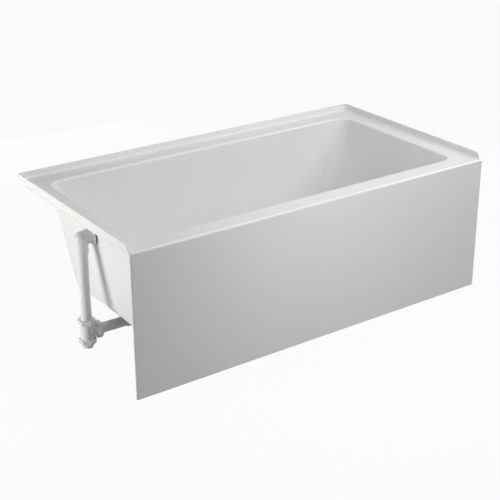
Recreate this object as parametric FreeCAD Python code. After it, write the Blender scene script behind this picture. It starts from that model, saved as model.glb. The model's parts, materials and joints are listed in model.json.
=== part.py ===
import FreeCAD, Part

"""Alcove bathtub with a plain front apron, a tiling flange on three sides and a left-hand outlet.

Frame: millimetres, +Z up, +X along the bath towards the sloping backrest, -Y towards the
apron. The origin lies on the floor, under the middle of the bath's outline.
Each function below makes one sub-assembly and returns its pieces by name.
"""

import math
import os

from FreeCAD import Vector

# ---- outline and moulding -----------------------------------------------------------------
BATH_LENGTH = 1524.0        # outside of the end flanges
BATH_WIDTH = 812.8          # apron face to the outside of the back flange
FLANGE_HEIGHT = 24.0        # tiling flange above the flat rim
SHEET = 5.0                 # moulded acrylic
BOND = 0.2                  # resin line between a moulding and what is stuck to it
LAMINATE = 3.0              # glass-fibre backing

RIM_LEFT = 73.0             # rim widths, outside face to the theoretical edge of the basin
RIM_RIGHT = 80.0
RIM_FRONT = 85.0
RIM_BACK = 89.0
RIM_ROLL_R = 9.0            # roll from the rim into the basin
APRON_EDGE_R = 14.0         # roll from the rim into the apron
APRON_SIDE_R = 4.5          # softened upright ends of the apron
HIDDEN_ROLL_R = 1.0         # least radius on the hidden side of a roll
FLANGE_FOOT_R = 6.0         # inside radius between rim and flange
FLANGE_CORNER_R = 7.0       # inside radius in plan, back corners
FLANGE_EDGE_R = 1.2         # softened top edge of the flange

# ---- basin --------------------------------------------------------------------------------
BASIN_DEPTH = 408.0         # flat rim to the floor at the outlet
BASIN_LIFT = 110.0          # room floor to the basin's floor at the outlet
SLOPE_LEFT = 9.0            # wall slopes from upright, degrees
SLOPE_RIGHT = 21.0
SLOPE_SIDES = 5.0
OPENING_CORNER_R = 48.0     # corners in plan, at the rim
FLOOR_CORNER_R = 56.0       # corners in plan, at the floor
FLOOR_FILLET_R = 50.0       # wall into floor
FLOOR_FALL = 0.4            # floor fall towards the outlet, degrees

# ---- front ends of the end flanges --------------------------------------------------------
FLANGE_END_RUN = 17.0       # length over which the flange slopes down to the rim
FLANGE_END_FOOT_R = 2.0     # radius where the slope meets the rim

# ---- timber and boards --------------------------------------------------------------------
BASE_BOARD_THK = 16.0       # at its thin end, beside the outlet
BASE_BOARD_WIDTH = 440.0
BASE_BOARD_TO_DRAIN = 82.0  # outlet centre to the board's near end
BASE_BOARD_TO_SLOPE = 55.4  # board's far end to where the backrest's slope meets the floor
BATTEN_HEIGHT = 18.0
BATTEN_CLEAR = 5.0          # batten to the flange's bend and to the basin's wall
RAIL_THK = 18.0
RAIL_HEIGHT = 40.0
RAIL_LIFT = 3.0             # keeps timber and laminate off the floor
POST_WIDTH = 45.0
POST_INSET = 162.0          # outer posts' centres to the bath's ends
POST_COUNT = 3

# ---- steel bearers and adjustable legs ----------------------------------------------------
BEARER_INSET = 140.0        # bearer's centre to the base board's end
BEARER_GAP = 36.4           # bearer's ends to the apron's face and to the back flange's
BEARER_WIDTH = 40.0
BEARER_HEIGHT = 25.0
BEARER_THK = 2.5
BEARER_SCREWS = 4
BEARER_SCREW_SPACING = 120.0
LEG_INSET = 32.0            # leg centre to the bearer's end
HAT_LENGTH = 120.0          # bracket of the middle leg
HAT_CROWN = 50.0
HAT_DROP = 27.5
HAT_SCREW_INSET = 14.0
ROD_R = 6.0                 # M12 rod
ROD_PITCH = 1.75
THREAD_CLEAR = 0.05         # radial, rod to nut
ROD_HOLE_CLEAR = 0.5        # radial, rod to bearer
ROD_ABOVE_NUT = 22.0        # rod left above the upper nut, corner legs
ROD_ABOVE_NUT_MIDDLE = 8.0  # the same, middle leg
NUT_FLATS = 18.0
NUT_HEIGHT = 10.0
FOOT_R = 26.0
FOOT_BASE = 6.0
FOOT_HUB_R = 13.0
FOOT_HEIGHT = 24.0
FOOT_EDGE_R = 1.5
FOOT_RIB_THK = 3.0
FOOT_RIBS = 6
FOOT_RIB_INSET = 3.0        # rib's end to the foot's edge
FOOT_RIB_LAP = 1.0          # how far a rib's top runs into the hub
BOARD_RELIEF_R = 8.0        # blind hole in the board over the middle leg
BOARD_RELIEF_DEPTH = 12.0
SCREW_SHANK_R = 2.2
SCREW_HEAD_R = 4.5
SCREW_HEAD = 3.0
SCREW_LENGTH = 14.0
SCREW_CLEAR = 0.1           # radial, screw to pilot hole
PILOT_SPARE = 1.0           # pilot hole past the screw's end
SCREW_HOLE_CLEAR = 0.6      # radial, screw to steel

# ---- outlet in the floor ------------------------------------------------------------------
DRAIN_FROM_END = 250.0      # outside of the left flange to the outlet centre
DRAIN_HOLE_R = 26.0
RECESS_R = 38.0
RECESS_DEPTH = 3.0
LAMINATE_DRAIN_R = 46.0     # backing is trimmed back round the outlet
PUTTY = 1.0
PUTTY_INSET = 1.0           # putty's edge inside the strainer's
STRAINER_R = 35.0
STRAINER_THK = 2.5
STRAINER_BEVEL = 1.5
BARREL_R = 23.5
BARREL_WALL = 3.0
BARREL_LENGTH = 22.0        # below the strainer's flange
SPIDER_WIDTH = 3.5
SPIDER_HEIGHT = 4.0
HUB_R = 7.0
POST_R = 4.7                # stopper's guide post
POST_BELOW_HUB = 3.0
PLUG_LIFT = 9.0             # travel of the stopper
SLEEVE_GRIP = 9.2           # sleeve left on the post with the stopper up
PLUG_R = 30.0
PLUG_THK = 2.0
PLUG_DOME = 4.5
PLUG_BOSS_R = 11.0
PLUG_BOSS_DROP = 2.0
SEAL_R = 27.0
SEAL_INNER_R = 16.0
SEAL_THK = 2.4
SEAL_GAP = 0.3              # closed seal to strainer
SLEEVE_WALL = 2.6
SLIDE_CLEAR = 0.05          # radial, sleeve to post
SLEEVE_END_GAP = 0.4        # closed sleeve to hub
POST_TOP_GAP = 0.6          # closed plug to post

# ---- waste pipes --------------------------------------------------------------------------
PIPE_R = 19.05              # 38.1 mm tube
PIPE_WALL = 1.6
SOCKET_CLEAR = 0.1
FITTING_R = 23.0
SOCKET_DEPTH = 20.0
TAIL_SOCKET_DEPTH = 12.0
PIPE_END_GAP = 1.0          # pipe's end to the bottom of its socket
SHOE_GASKET = 3.0
SHOE_FLANGE_R = 38.0
SHOE_FLANGE_THK = 5.0
SHOE_R = 28.0
SHOE_REACH = 56.0           # outlet centre to the end of the shoe's socket
ARM_DROP = 35.0             # shoe's flange top down to the arm's centre line
STACK_FROM_END = 36.0       # outside of the left flange to the upright pipe
TEE_ABOVE = 46.0            # tee's centre to its ends
TEE_REACH = 46.0
TAIL_END = 8.0              # outlet's open end above the floor
TAIL_MARK = 1.0             # height of the ring mark under the tailpiece's nut
TAIL_MARK_DEPTH = 0.4
NUT_FLATS_WASTE = 56.0
WASTE_NUT_LENGTH = 17.0
WASTE_NUT_CAP = 2.5
WASTE_NUT_TRIM = 1.0        # taken off the hexagon's corners
WASTE_WASHER = 3.0
WASHER_INSET = 0.5          # washer's edge inside the fitting's
WASTE_NUT_GAP = 0.6         # tee's lower nut to the tee's branch

# ---- overflow -----------------------------------------------------------------------------
OVERFLOW_DEPTH = 90.0       # flat rim to the overflow's centre
OVERFLOW_HOLE_R = 27.0
OVERFLOW_GASKET = 5.0
OVERFLOW_GASKET_R = 35.0
ELBOW_FLANGE_THK = 4.0
ELBOW_R = 26.0
ELBOW_BORE_R = 22.5
ELBOW_DOWN = 52.0           # bend centre to the end of the socket
PLATE_R = 41.0
PLATE_DEPTH = 9.0
PLATE_THK = 1.6
PLATE_EDGE_R = 5.0
PLATE_SLOT_R = 12.0         # water way under the plate
PLATE_GAP = 0.2             # plate to wall
PLATE_SCREW_SPREAD = 19.0   # screw to plate centre
PLATE_SCREW_R = 2.4
PLATE_SCREW_HEAD_R = 4.6
PLATE_SCREW_HEAD = 2.6
PLATE_SCREW_CROWN_R = 1.8
PLATE_SCREW_GRIP = 11.0     # length of screw in the elbow's boss
BOSS_R = 5.0
BOSS_DEPTH = 14.0

# ---- places worked out from the sizes above -----------------------------------------------
HALF_LENGTH = BATH_LENGTH / 2.0
HALF_WIDTH = BATH_WIDTH / 2.0
DECK_HEIGHT = BASIN_LIFT + BASIN_DEPTH      # floor to the flat rim
FLANGE_TOP = DECK_HEIGHT + FLANGE_HEIGHT
OPEN_LEFT = -HALF_LENGTH + RIM_LEFT
OPEN_RIGHT = HALF_LENGTH - RIM_RIGHT
OPEN_FRONT = -HALF_WIDTH + RIM_FRONT
OPEN_BACK = HALF_WIDTH - RIM_BACK
BASIN_MID_Y = (OPEN_FRONT + OPEN_BACK) / 2.0
FLOOR_LEVEL = BASIN_LIFT
RECESS_LEVEL = FLOOR_LEVEL - RECESS_DEPTH
DRAIN_X = -HALF_LENGTH + DRAIN_FROM_END
STACK_X = -HALF_LENGTH + STACK_FROM_END
WASTE_NUT_COVER = WASTE_WASHER + WASTE_NUT_CAP      # nut past the end of its fitting
TEE_BELOW = FITTING_R + WASTE_NUT_GAP + WASTE_NUT_LENGTH - WASTE_NUT_COVER
SLOPE_END = OPEN_RIGHT - BASIN_DEPTH * math.tan(math.radians(SLOPE_RIGHT))
BASE_BOARD_START = DRAIN_X + BASE_BOARD_TO_DRAIN
BASE_BOARD_LENGTH = SLOPE_END - BASE_BOARD_TO_SLOPE - BASE_BOARD_START
BEARER_SPACING = BASE_BOARD_LENGTH - 2.0 * BEARER_INSET
BEARER_OFFSET_X = BASE_BOARD_START + BASE_BOARD_LENGTH / 2.0    # middle of the pair
BEARER_LENGTH = BATH_WIDTH - 2.0 * BEARER_GAP
POST_SPACING = (BATH_LENGTH - 2.0 * POST_INSET) / (POST_COUNT - 1)
BACKED = SHEET + BOND + LAMINATE
OVERRUN = 60.0              # how far cutting tools run past what they cut
TOL = 0.01                  # nearness that counts as the same place
UP = Vector(0, 0, 1)
DOWN = Vector(0, 0, -1)
ALONG_X = Vector(1, 0, 0)
ALONG_Y = Vector(0, 1, 0)


def box(x0, x1, y0, y1, z0, z1):
    """A block between two corners."""
    return Part.makeBox(x1 - x0, y1 - y0, z1 - z0, Vector(x0, y0, z0))


def rod(radius, start, direction, length):
    """A round bar from a point along a direction."""
    return Part.makeCylinder(radius, length, start, direction)


def tube(outer_r, inner_r, start, direction, length):
    """A round tube from a point along a direction."""
    return rod(outer_r, start, direction, length).cut(rod(inner_r, start, direction, length))


def hexagon_bar(flats, start, height):
    """An upright hexagonal bar, two of its flats facing along X."""
    corner_r = flats / math.sqrt(3.0)
    corners = [start + Vector(corner_r * math.sin(math.radians(60 * i)),
                              corner_r * math.cos(math.radians(60 * i)), 0) for i in range(7)]
    return Part.Face(Part.makePolygon(corners)).extrude(UP * height)


def fuse_all(shapes):
    """One solid from several that touch or overlap."""
    joined = shapes[0].fuse(shapes[1:]) if len(shapes) > 1 else shapes[0]
    return joined.removeSplitter()


def group(shapes):
    """Identical loose pieces kept together as separate solids."""
    return Part.makeCompound(shapes)


# ---- moulding -----------------------------------------------------------------------------
def floor_height(x, offset):
    """Height of the basin floor at x, for a surface moved out from the bather's side."""
    fall = math.radians(FLOOR_FALL)
    return FLOOR_LEVEL + (x - DRAIN_X) * math.tan(fall) - offset / math.cos(fall)


def wall_x_left(z, offset):
    """Where the left basin wall lies at height z, for a surface moved out by offset."""
    slope = math.radians(SLOPE_LEFT)
    return OPEN_LEFT + (DECK_HEIGHT - z) * math.tan(slope) - offset / math.cos(slope)


def basin_section(z, offset):
    """Closed outline of the basin at one height, a rectangle with rounded corners."""
    depth = DECK_HEIGHT - z
    right, side = math.radians(SLOPE_RIGHT), math.radians(SLOPE_SIDES)
    x0 = wall_x_left(z, offset)
    x1 = OPEN_RIGHT - depth * math.tan(right) + offset / math.cos(right)
    y0 = OPEN_FRONT + depth * math.tan(side) - offset / math.cos(side)
    y1 = OPEN_BACK - depth * math.tan(side) + offset / math.cos(side)
    r = OPENING_CORNER_R + (FLOOR_CORNER_R - OPENING_CORNER_R) * depth / BASIN_DEPTH + offset
    k = r * (1.0 - math.sqrt(0.5))
    corners = [((x1 - r, y0), (x1 - k, y0 + k), (x1, y0 + r)),
               ((x1, y1 - r), (x1 - k, y1 - k), (x1 - r, y1)),
               ((x0 + r, y1), (x0 + k, y1 - k), (x0, y1 - r)),
               ((x0, y0 + r), (x0 + k, y0 + k), (x0 + r, y0))]
    edges = []
    for i, corner in enumerate(corners):
        start, middle, end = (Vector(x, y, z) for x, y in corner)
        edges.append(Part.Arc(start, middle, end).toShape())
        following = Vector(*corners[(i + 1) % 4][0], z)
        edges.append(Part.LineSegment(end, following).toShape())
    return Part.Wire(edges)


def edges_on(shape, test):
    """Edges whose ends and middle all pass a test on a point."""
    chosen = []
    for edge in shape.Edges:
        middle = edge.valueAt((edge.FirstParameter + edge.LastParameter) / 2.0)
        if all(test(point) for point in [middle] + [v.Point for v in edge.Vertexes]):
            chosen.append(edge)
    return chosen


def open_side(offset):
    """All the space on the bather's side of the moulding, its surface moved out by offset.

    It is the well of the basin, topped by the shallow tray that the rim and flange form. The
    tray runs on past the front, where the apron closes the moulding.
    """
    top = FLANGE_TOP + OVERRUN
    low = FLOOR_LEVEL - OVERRUN
    well = Part.makeLoft([basin_section(top, offset), basin_section(low, offset)], True, True)
    x0, x1 = -HALF_LENGTH - OVERRUN, HALF_LENGTH + OVERRUN
    under = Part.makePolygon([Vector(x0, -HALF_WIDTH, floor_height(x0, offset)),
                              Vector(x1, -HALF_WIDTH, floor_height(x1, offset)),
                              Vector(x1, -HALF_WIDTH, low - OVERRUN),
                              Vector(x0, -HALF_WIDTH, low - OVERRUN),
                              Vector(x0, -HALF_WIDTH, floor_height(x0, offset))])
    well = well.cut(Part.Face(under).extrude(ALONG_Y * BATH_WIDTH))
    floor_edges = edges_on(well, lambda p: abs(p.z - floor_height(p.x, offset)) < TOL)
    well = well.makeFillet(FLOOR_FILLET_R + offset, floor_edges)

    half_x = HALF_LENGTH - SHEET + offset
    back_y = HALF_WIDTH - SHEET + offset
    level = DECK_HEIGHT - offset
    tray = box(-half_x, half_x, -HALF_WIDTH - OVERRUN, back_y, level, top)
    uprights = edges_on(tray, lambda p: abs(p.y - back_y) < TOL and abs(abs(p.x) - half_x) < TOL)
    tray = tray.makeFillet(FLANGE_CORNER_R + offset, uprights)
    foot = edges_on(tray, lambda p: abs(p.z - level) < TOL and p.y > -HALF_WIDTH - OVERRUN + TOL)
    foot += edges_on(tray, lambda p: abs(p.z - level) < TOL and abs(abs(p.x) - half_x) < TOL)
    tray = tray.makeFillet(FLANGE_FOOT_R + offset, unique(foot))

    space = tray.fuse(well).removeSplitter()
    rim = min(RIM_LEFT, RIM_RIGHT, RIM_BACK)
    inside = lambda p: (abs(p.z - level) < TOL and abs(p.x) < half_x - rim / 2.0
                        and -HALF_WIDTH < p.y < back_y - rim / 2.0)
    return space.makeFillet(max(RIM_ROLL_R - offset, HIDDEN_ROLL_R), edges_on(space, inside))


def unique(edges):
    """The same edges with repeats left out."""
    kept = []
    for edge in edges:
        if not any(edge.isSame(other) for other in kept):
            kept.append(edge)
    return kept


def apron_strip(outer, inner, back_y, bottom, half_length):
    """Rim edge, roll and apron in one bent strip, between two offsets from the face side."""
    face_y = -HALF_WIDTH

    def corner_line(offset):
        """Apron line, roll and rim line of one side of the strip, from the bottom up."""
        r = max(APRON_EDGE_R - offset, HIDDEN_ROLL_R)
        y, z = face_y + offset, DECK_HEIGHT - offset
        k = r * (1.0 - math.sqrt(0.5))
        return [Vector(0, y, bottom), Vector(0, y, z - r), Vector(0, y + k, z - k),
                Vector(0, y + r, z), Vector(0, back_y, z)]

    a, b = corner_line(outer), corner_line(inner)
    edges = [Part.LineSegment(a[0], a[1]).toShape(), Part.Arc(a[1], a[2], a[3]).toShape(),
             Part.LineSegment(a[3], a[4]).toShape(), Part.LineSegment(a[4], b[4]).toShape(),
             Part.LineSegment(b[4], b[3]).toShape(), Part.Arc(b[3], b[2], b[1]).toShape(),
             Part.LineSegment(b[1], b[0]).toShape(), Part.LineSegment(b[0], a[0]).toShape()]
    strip = Part.Face(Part.Wire(edges)).extrude(ALONG_X * (2.0 * half_length))
    strip.translate(Vector(-half_length, 0, 0))
    return strip


def flange_slope():
    """Where the front ends of the flanges leave the rim and where they reach full height.

    The radius at the foot of the slope ends just where the apron's roll begins.
    """
    half_turn = math.atan2(FLANGE_HEIGHT, FLANGE_END_RUN) / 2.0
    foot = -HALF_WIDTH + APRON_EDGE_R + FLANGE_END_FOOT_R * math.tan(half_turn)
    return foot, foot + FLANGE_END_RUN


def flange_end_cut():
    """The space in front of the end flanges, whose front ends slope down to the rim."""
    foot, back = flange_slope()
    front, top = -HALF_WIDTH - OVERRUN, FLANGE_TOP + OVERRUN
    points = [(front, DECK_HEIGHT), (foot, DECK_HEIGHT), (back, FLANGE_TOP),
              (back, top), (front, top), (front, DECK_HEIGHT)]
    outline = Part.makePolygon([Vector(-HALF_LENGTH - OVERRUN, y, z) for y, z in points])
    block = Part.Face(outline).extrude(ALONG_X * (BATH_LENGTH + 2.0 * OVERRUN))
    at_foot = lambda p: abs(p.y - foot) < TOL and abs(p.z - DECK_HEIGHT) < TOL
    return block.makeFillet(FLANGE_END_FOOT_R, edges_on(block, at_foot))


def make_shell():
    """The acrylic moulding: basin, rim, tiling flange and apron in one sheet."""
    front = -HALF_WIDTH + APRON_EDGE_R
    sheet = open_side(SHEET).cut(open_side(0.0))
    sheet = sheet.common(box(-HALF_LENGTH, HALF_LENGTH, front, HALF_WIDTH, 0.0, FLANGE_TOP))
    top_edges = [edge for edge in edges_on(sheet, lambda p: abs(p.z - FLANGE_TOP) < TOL)
                 if edge.BoundBox.YMax > front + TOL]
    sheet = sheet.makeFillet(FLANGE_EDGE_R, top_edges)
    _foot, strip_back = flange_slope()
    apron = apron_strip(0.0, SHEET, strip_back, 0.0, HALF_LENGTH)
    ends = edges_on(apron, lambda p: abs(abs(p.x) - HALF_LENGTH) < TOL and on_apron_face(p))
    apron = apron.makeFillet(APRON_SIDE_R, ends)
    shell = sheet.fuse(apron).removeSplitter().cut(flange_end_cut())
    centre = Vector(DRAIN_X, 0, 0)
    pad = rod(RECESS_R + SHEET, centre + UP * (RECESS_LEVEL - SHEET), UP, RECESS_DEPTH + SHEET / 2.0)
    shell = shell.fuse(pad)
    shell = shell.cut(rod(RECESS_R, centre + UP * RECESS_LEVEL, UP, OVERRUN))
    shell = shell.cut(rod(DRAIN_HOLE_R, centre + UP * (RECESS_LEVEL - OVERRUN), UP, 2.0 * OVERRUN))
    return shell.cut(overflow_bore(OVERFLOW_HOLE_R)).removeSplitter()


def on_apron_face(p):
    """True for a point on the apron's face or on the roll above it."""
    centre = Vector(p.x, -HALF_WIDTH + APRON_EDGE_R, DECK_HEIGHT - APRON_EDGE_R)
    on_roll = p.y < centre.y + TOL and abs((p - centre).Length - APRON_EDGE_R) < TOL
    return on_roll or abs(p.y + HALF_WIDTH) < TOL


def overflow_axis():
    """Centre of the overflow on the wall's inside, and the wall's direction into the basin."""
    z = DECK_HEIGHT - OVERFLOW_DEPTH
    slope = math.radians(SLOPE_LEFT)
    return Vector(wall_x_left(z, 0.0), 0, z), Vector(math.cos(slope), 0, math.sin(slope))


def overflow_bore(radius):
    """A round cut through the left wall, square to it."""
    centre, inwards = overflow_axis()
    return rod(radius, centre - inwards * OVERRUN / 2.0, inwards, OVERRUN)


def make_backing():
    """Glass-fibre layer behind the moulding, and the timber that stiffens rim and apron."""
    bend = SHEET + FLANGE_FOOT_R
    near, far = SHEET + BOND, BACKED
    layer = open_side(far).cut(open_side(near))
    strip_back = -HALF_WIDTH + APRON_EDGE_R + far
    layer = layer.common(box(-HALF_LENGTH + bend, HALF_LENGTH - bend, strip_back,
                             HALF_WIDTH - bend, 0.0, DECK_HEIGHT))
    apron = apron_strip(near, far, strip_back, RAIL_LIFT, HALF_LENGTH - bend)
    layer = layer.fuse(apron).removeSplitter()
    layer = layer.cut(rod(LAMINATE_DRAIN_R, Vector(DRAIN_X, 0, 0), UP, FLOOR_LEVEL + OVERRUN))
    layer = layer.cut(overflow_bore(OVERFLOW_HOLE_R)).removeSplitter()

    top = DECK_HEIGHT - BACKED - BOND
    bottom = top - BATTEN_HEIGHT
    inner_x = HALF_LENGTH - bend - BATTEN_CLEAR
    rail0 = -HALF_WIDTH + BACKED + BOND
    front0 = -HALF_WIDTH + max(APRON_EDGE_R, BACKED) + BOND
    front1 = OPEN_FRONT - BACKED - BATTEN_CLEAR
    back0 = OPEN_BACK + BACKED + BATTEN_CLEAR
    back1 = HALF_WIDTH - bend - BATTEN_CLEAR
    left1 = OPEN_LEFT - BACKED - BATTEN_CLEAR
    right0 = OPEN_RIGHT + BACKED + BATTEN_CLEAR
    pieces = {"laminate_backing": layer,
              "rim_batten_front": box(-inner_x, inner_x, front0, front1, bottom, top),
              "rim_batten_back": box(-inner_x, inner_x, back0, back1, bottom, top),
              "rim_batten_left": box(-inner_x, left1, front1, back0, bottom, top),
              "rim_batten_right": box(right0, inner_x, front1, back0, bottom, top)}
    rail_top = RAIL_LIFT + RAIL_HEIGHT
    pieces["apron_rail"] = box(-inner_x, inner_x, rail0, rail0 + RAIL_THK, RAIL_LIFT, rail_top)
    middle = (POST_COUNT - 1) / 2.0
    for i in range(POST_COUNT):
        x = (i - middle) * POST_SPACING
        pieces["apron_post_%d" % (i + 1)] = box(x - POST_WIDTH / 2.0, x + POST_WIDTH / 2.0, rail0,
                                                rail0 + RAIL_THK, rail_top, bottom)
    return pieces


# ---- base board, bearers and legs ---------------------------------------------------------
def board_underside():
    """Height of the base board's flat underside, where bearers and bracket meet it."""
    return floor_height(BASE_BOARD_START, BACKED + BOND) - BASE_BOARD_THK


def bearer_places():
    """Positions along X of the two bearers."""
    return {"left": BEARER_OFFSET_X - BEARER_SPACING / 2.0,
            "right": BEARER_OFFSET_X + BEARER_SPACING / 2.0}


def bearer_screw_rows():
    """Positions along Y of the screws that hold a bearer to the base board."""
    middle = (BEARER_SCREWS - 1) / 2.0
    return [BASIN_MID_Y + (i - middle) * BEARER_SCREW_SPACING for i in range(BEARER_SCREWS)]


def screw_points():
    """Every wood screw's place on the board's underside, with the steel's thickness there."""
    level = board_underside() - BEARER_THK
    points = [Vector(x, y, level) for x in bearer_places().values() for y in bearer_screw_rows()]
    reach = HAT_LENGTH / 2.0 - HAT_SCREW_INSET
    points += [Vector(BEARER_OFFSET_X + side * reach, BASIN_MID_Y, level) for side in (-1, 1)]
    return points


def leg_places():
    """Each leg's name, centre, web top that it hangs from and spare rod above its nut."""
    board = board_underside()
    inset = BEARER_LENGTH / 2.0 - LEG_INSET
    places = []
    for end, x in bearer_places().items():
        places.append(("front_" + end, Vector(x, -inset, board), ROD_ABOVE_NUT))
        places.append(("back_" + end, Vector(x, inset, board), ROD_ABOVE_NUT))
    crown = board - HAT_DROP + BEARER_THK
    places.append(("middle", Vector(BEARER_OFFSET_X, BASIN_MID_Y, crown), ROD_ABOVE_NUT_MIDDLE))
    return places


def make_base():
    """Base board under the floor, two channel bearers, the middle bracket and their screws."""
    level = board_underside()
    x0, x1 = BASE_BOARD_START, BASE_BOARD_START + BASE_BOARD_LENGTH
    y0, y1 = BASIN_MID_Y - BASE_BOARD_WIDTH / 2.0, BASIN_MID_Y + BASE_BOARD_WIDTH / 2.0
    side = [Vector(x0, y0, level), Vector(x1, y0, level),
            Vector(x1, y0, floor_height(x1, BACKED + BOND)),
            Vector(x0, y0, floor_height(x0, BACKED + BOND)), Vector(x0, y0, level)]
    board = Part.Face(Part.makePolygon(side)).extrude(ALONG_Y * (y1 - y0))
    for point in screw_points():
        board = board.cut(rod(SCREW_SHANK_R + SCREW_CLEAR, point, UP, SCREW_LENGTH + PILOT_SPARE))
    board = board.cut(rod(BOARD_RELIEF_R, Vector(BEARER_OFFSET_X, BASIN_MID_Y, level), UP,
                          BOARD_RELIEF_DEPTH))
    pieces = {"base_board": board}

    half, t = BEARER_WIDTH / 2.0, BEARER_THK
    for end, x in bearer_places().items():
        y = BEARER_LENGTH / 2.0
        bearer = box(x - half, x + half, -y, y, level - BEARER_HEIGHT, level)
        bearer = bearer.cut(box(x - half + t, x + half - t, -y, y, level - BEARER_HEIGHT, level - t))
        for row in bearer_screw_rows():
            bearer = bearer.cut(rod(SCREW_SHANK_R + SCREW_HOLE_CLEAR, Vector(x, row, level), DOWN, t))
        pieces["bearer_" + end] = bearer
    pieces["middle_bracket"] = make_hat(level)
    for name, centre, _spare in leg_places():
        hole = rod(ROD_R + ROD_HOLE_CLEAR, centre, DOWN, BEARER_THK)
        carrier = "middle_bracket" if name == "middle" else "bearer_" + name.split("_")[1]
        pieces[carrier] = pieces[carrier].cut(hole)

    screws = []
    for point in screw_points():
        head = rod(SCREW_HEAD_R, point + DOWN * SCREW_HEAD, UP, SCREW_HEAD)
        screws.append(head.fuse(rod(SCREW_SHANK_R, point, UP, SCREW_LENGTH)).removeSplitter())
    pieces["base_screws"] = group(screws)
    return pieces


def make_hat(level):
    """Bent bracket under the middle of the board, its crown standing off for the middle leg."""
    t = BEARER_THK
    out, crown, half_y = HAT_LENGTH / 2.0, HAT_CROWN / 2.0, BEARER_WIDTH / 2.0
    points = [(-out, 0), (-crown, 0), (-crown, t - HAT_DROP), (crown, t - HAT_DROP), (crown, 0),
              (out, 0), (out, -t), (crown + t, -t), (crown + t, -HAT_DROP),
              (-crown - t, -HAT_DROP), (-crown - t, -t), (-out, -t), (-out, 0)]
    outline = Part.makePolygon([Vector(BEARER_OFFSET_X + x, BASIN_MID_Y - half_y, level + z)
                                for x, z in points])
    hat = Part.Face(outline).extrude(ALONG_Y * BEARER_WIDTH)
    for point in screw_points()[-2:]:
        hat = hat.cut(rod(SCREW_SHANK_R + SCREW_HOLE_CLEAR, point, UP, t))
    return hat


def make_foot(centre):
    """Plastic foot: a disc on the floor, ribs, and a hub that takes the end of the rod."""
    base = rod(FOOT_R, centre, UP, FOOT_BASE)
    base = base.makeFillet(FOOT_EDGE_R, edges_on(base, lambda p: abs(p.z - FOOT_BASE) < TOL))
    solid = base.fuse(rod(FOOT_HUB_R, centre, UP, FOOT_HEIGHT))
    reach = FOOT_R - FOOT_RIB_INSET
    height = FOOT_HEIGHT - FOOT_RIB_THK
    for i in range(FOOT_RIBS):
        profile = Part.makePolygon([Vector(0, -FOOT_RIB_THK / 2.0, FOOT_BASE / 2.0),
                                    Vector(reach, -FOOT_RIB_THK / 2.0, FOOT_BASE / 2.0),
                                    Vector(reach, -FOOT_RIB_THK / 2.0, FOOT_BASE),
                                    Vector(FOOT_HUB_R - FOOT_RIB_LAP, -FOOT_RIB_THK / 2.0, height),
                                    Vector(0, -FOOT_RIB_THK / 2.0, height),
                                    Vector(0, -FOOT_RIB_THK / 2.0, FOOT_BASE / 2.0)])
        rib = Part.Face(profile).extrude(ALONG_Y * FOOT_RIB_THK)
        rib.rotate(Vector(0, 0, 0), UP, 360.0 * i / FOOT_RIBS)
        rib.translate(centre)
        solid = solid.fuse(rib)
    solid = solid.removeSplitter()
    return solid.cut(rod(ROD_R + THREAD_CLEAR, centre + UP * FOOT_BASE, UP, FOOT_HEIGHT))


def make_legs():
    """Five adjustable legs, each a foot, a threaded rod and the two nuts that clamp it."""
    pieces = {}
    for name, hang, spare in leg_places():
        ground = Vector(hang.x, hang.y, 0)
        top = hang.z + NUT_HEIGHT + spare
        pieces["foot_" + name] = make_foot(ground)
        bar = rod(ROD_R, ground + UP * FOOT_BASE, UP, top - FOOT_BASE)
        rim = edges_on(bar, lambda p: abs(p.z - top) < TOL)
        pieces["leg_rod_" + name] = bar.makeChamfer(ROD_PITCH / 2.0, rim)
        nuts = []
        for level in (hang.z, hang.z - BEARER_THK - NUT_HEIGHT):
            start = Vector(hang.x, hang.y, level)
            nut = hexagon_bar(NUT_FLATS, start, NUT_HEIGHT)
            nuts.append(nut.cut(rod(ROD_R + THREAD_CLEAR, start, UP, NUT_HEIGHT)))
        pieces["leg_nuts_" + name] = group(nuts)
    return pieces


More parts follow.
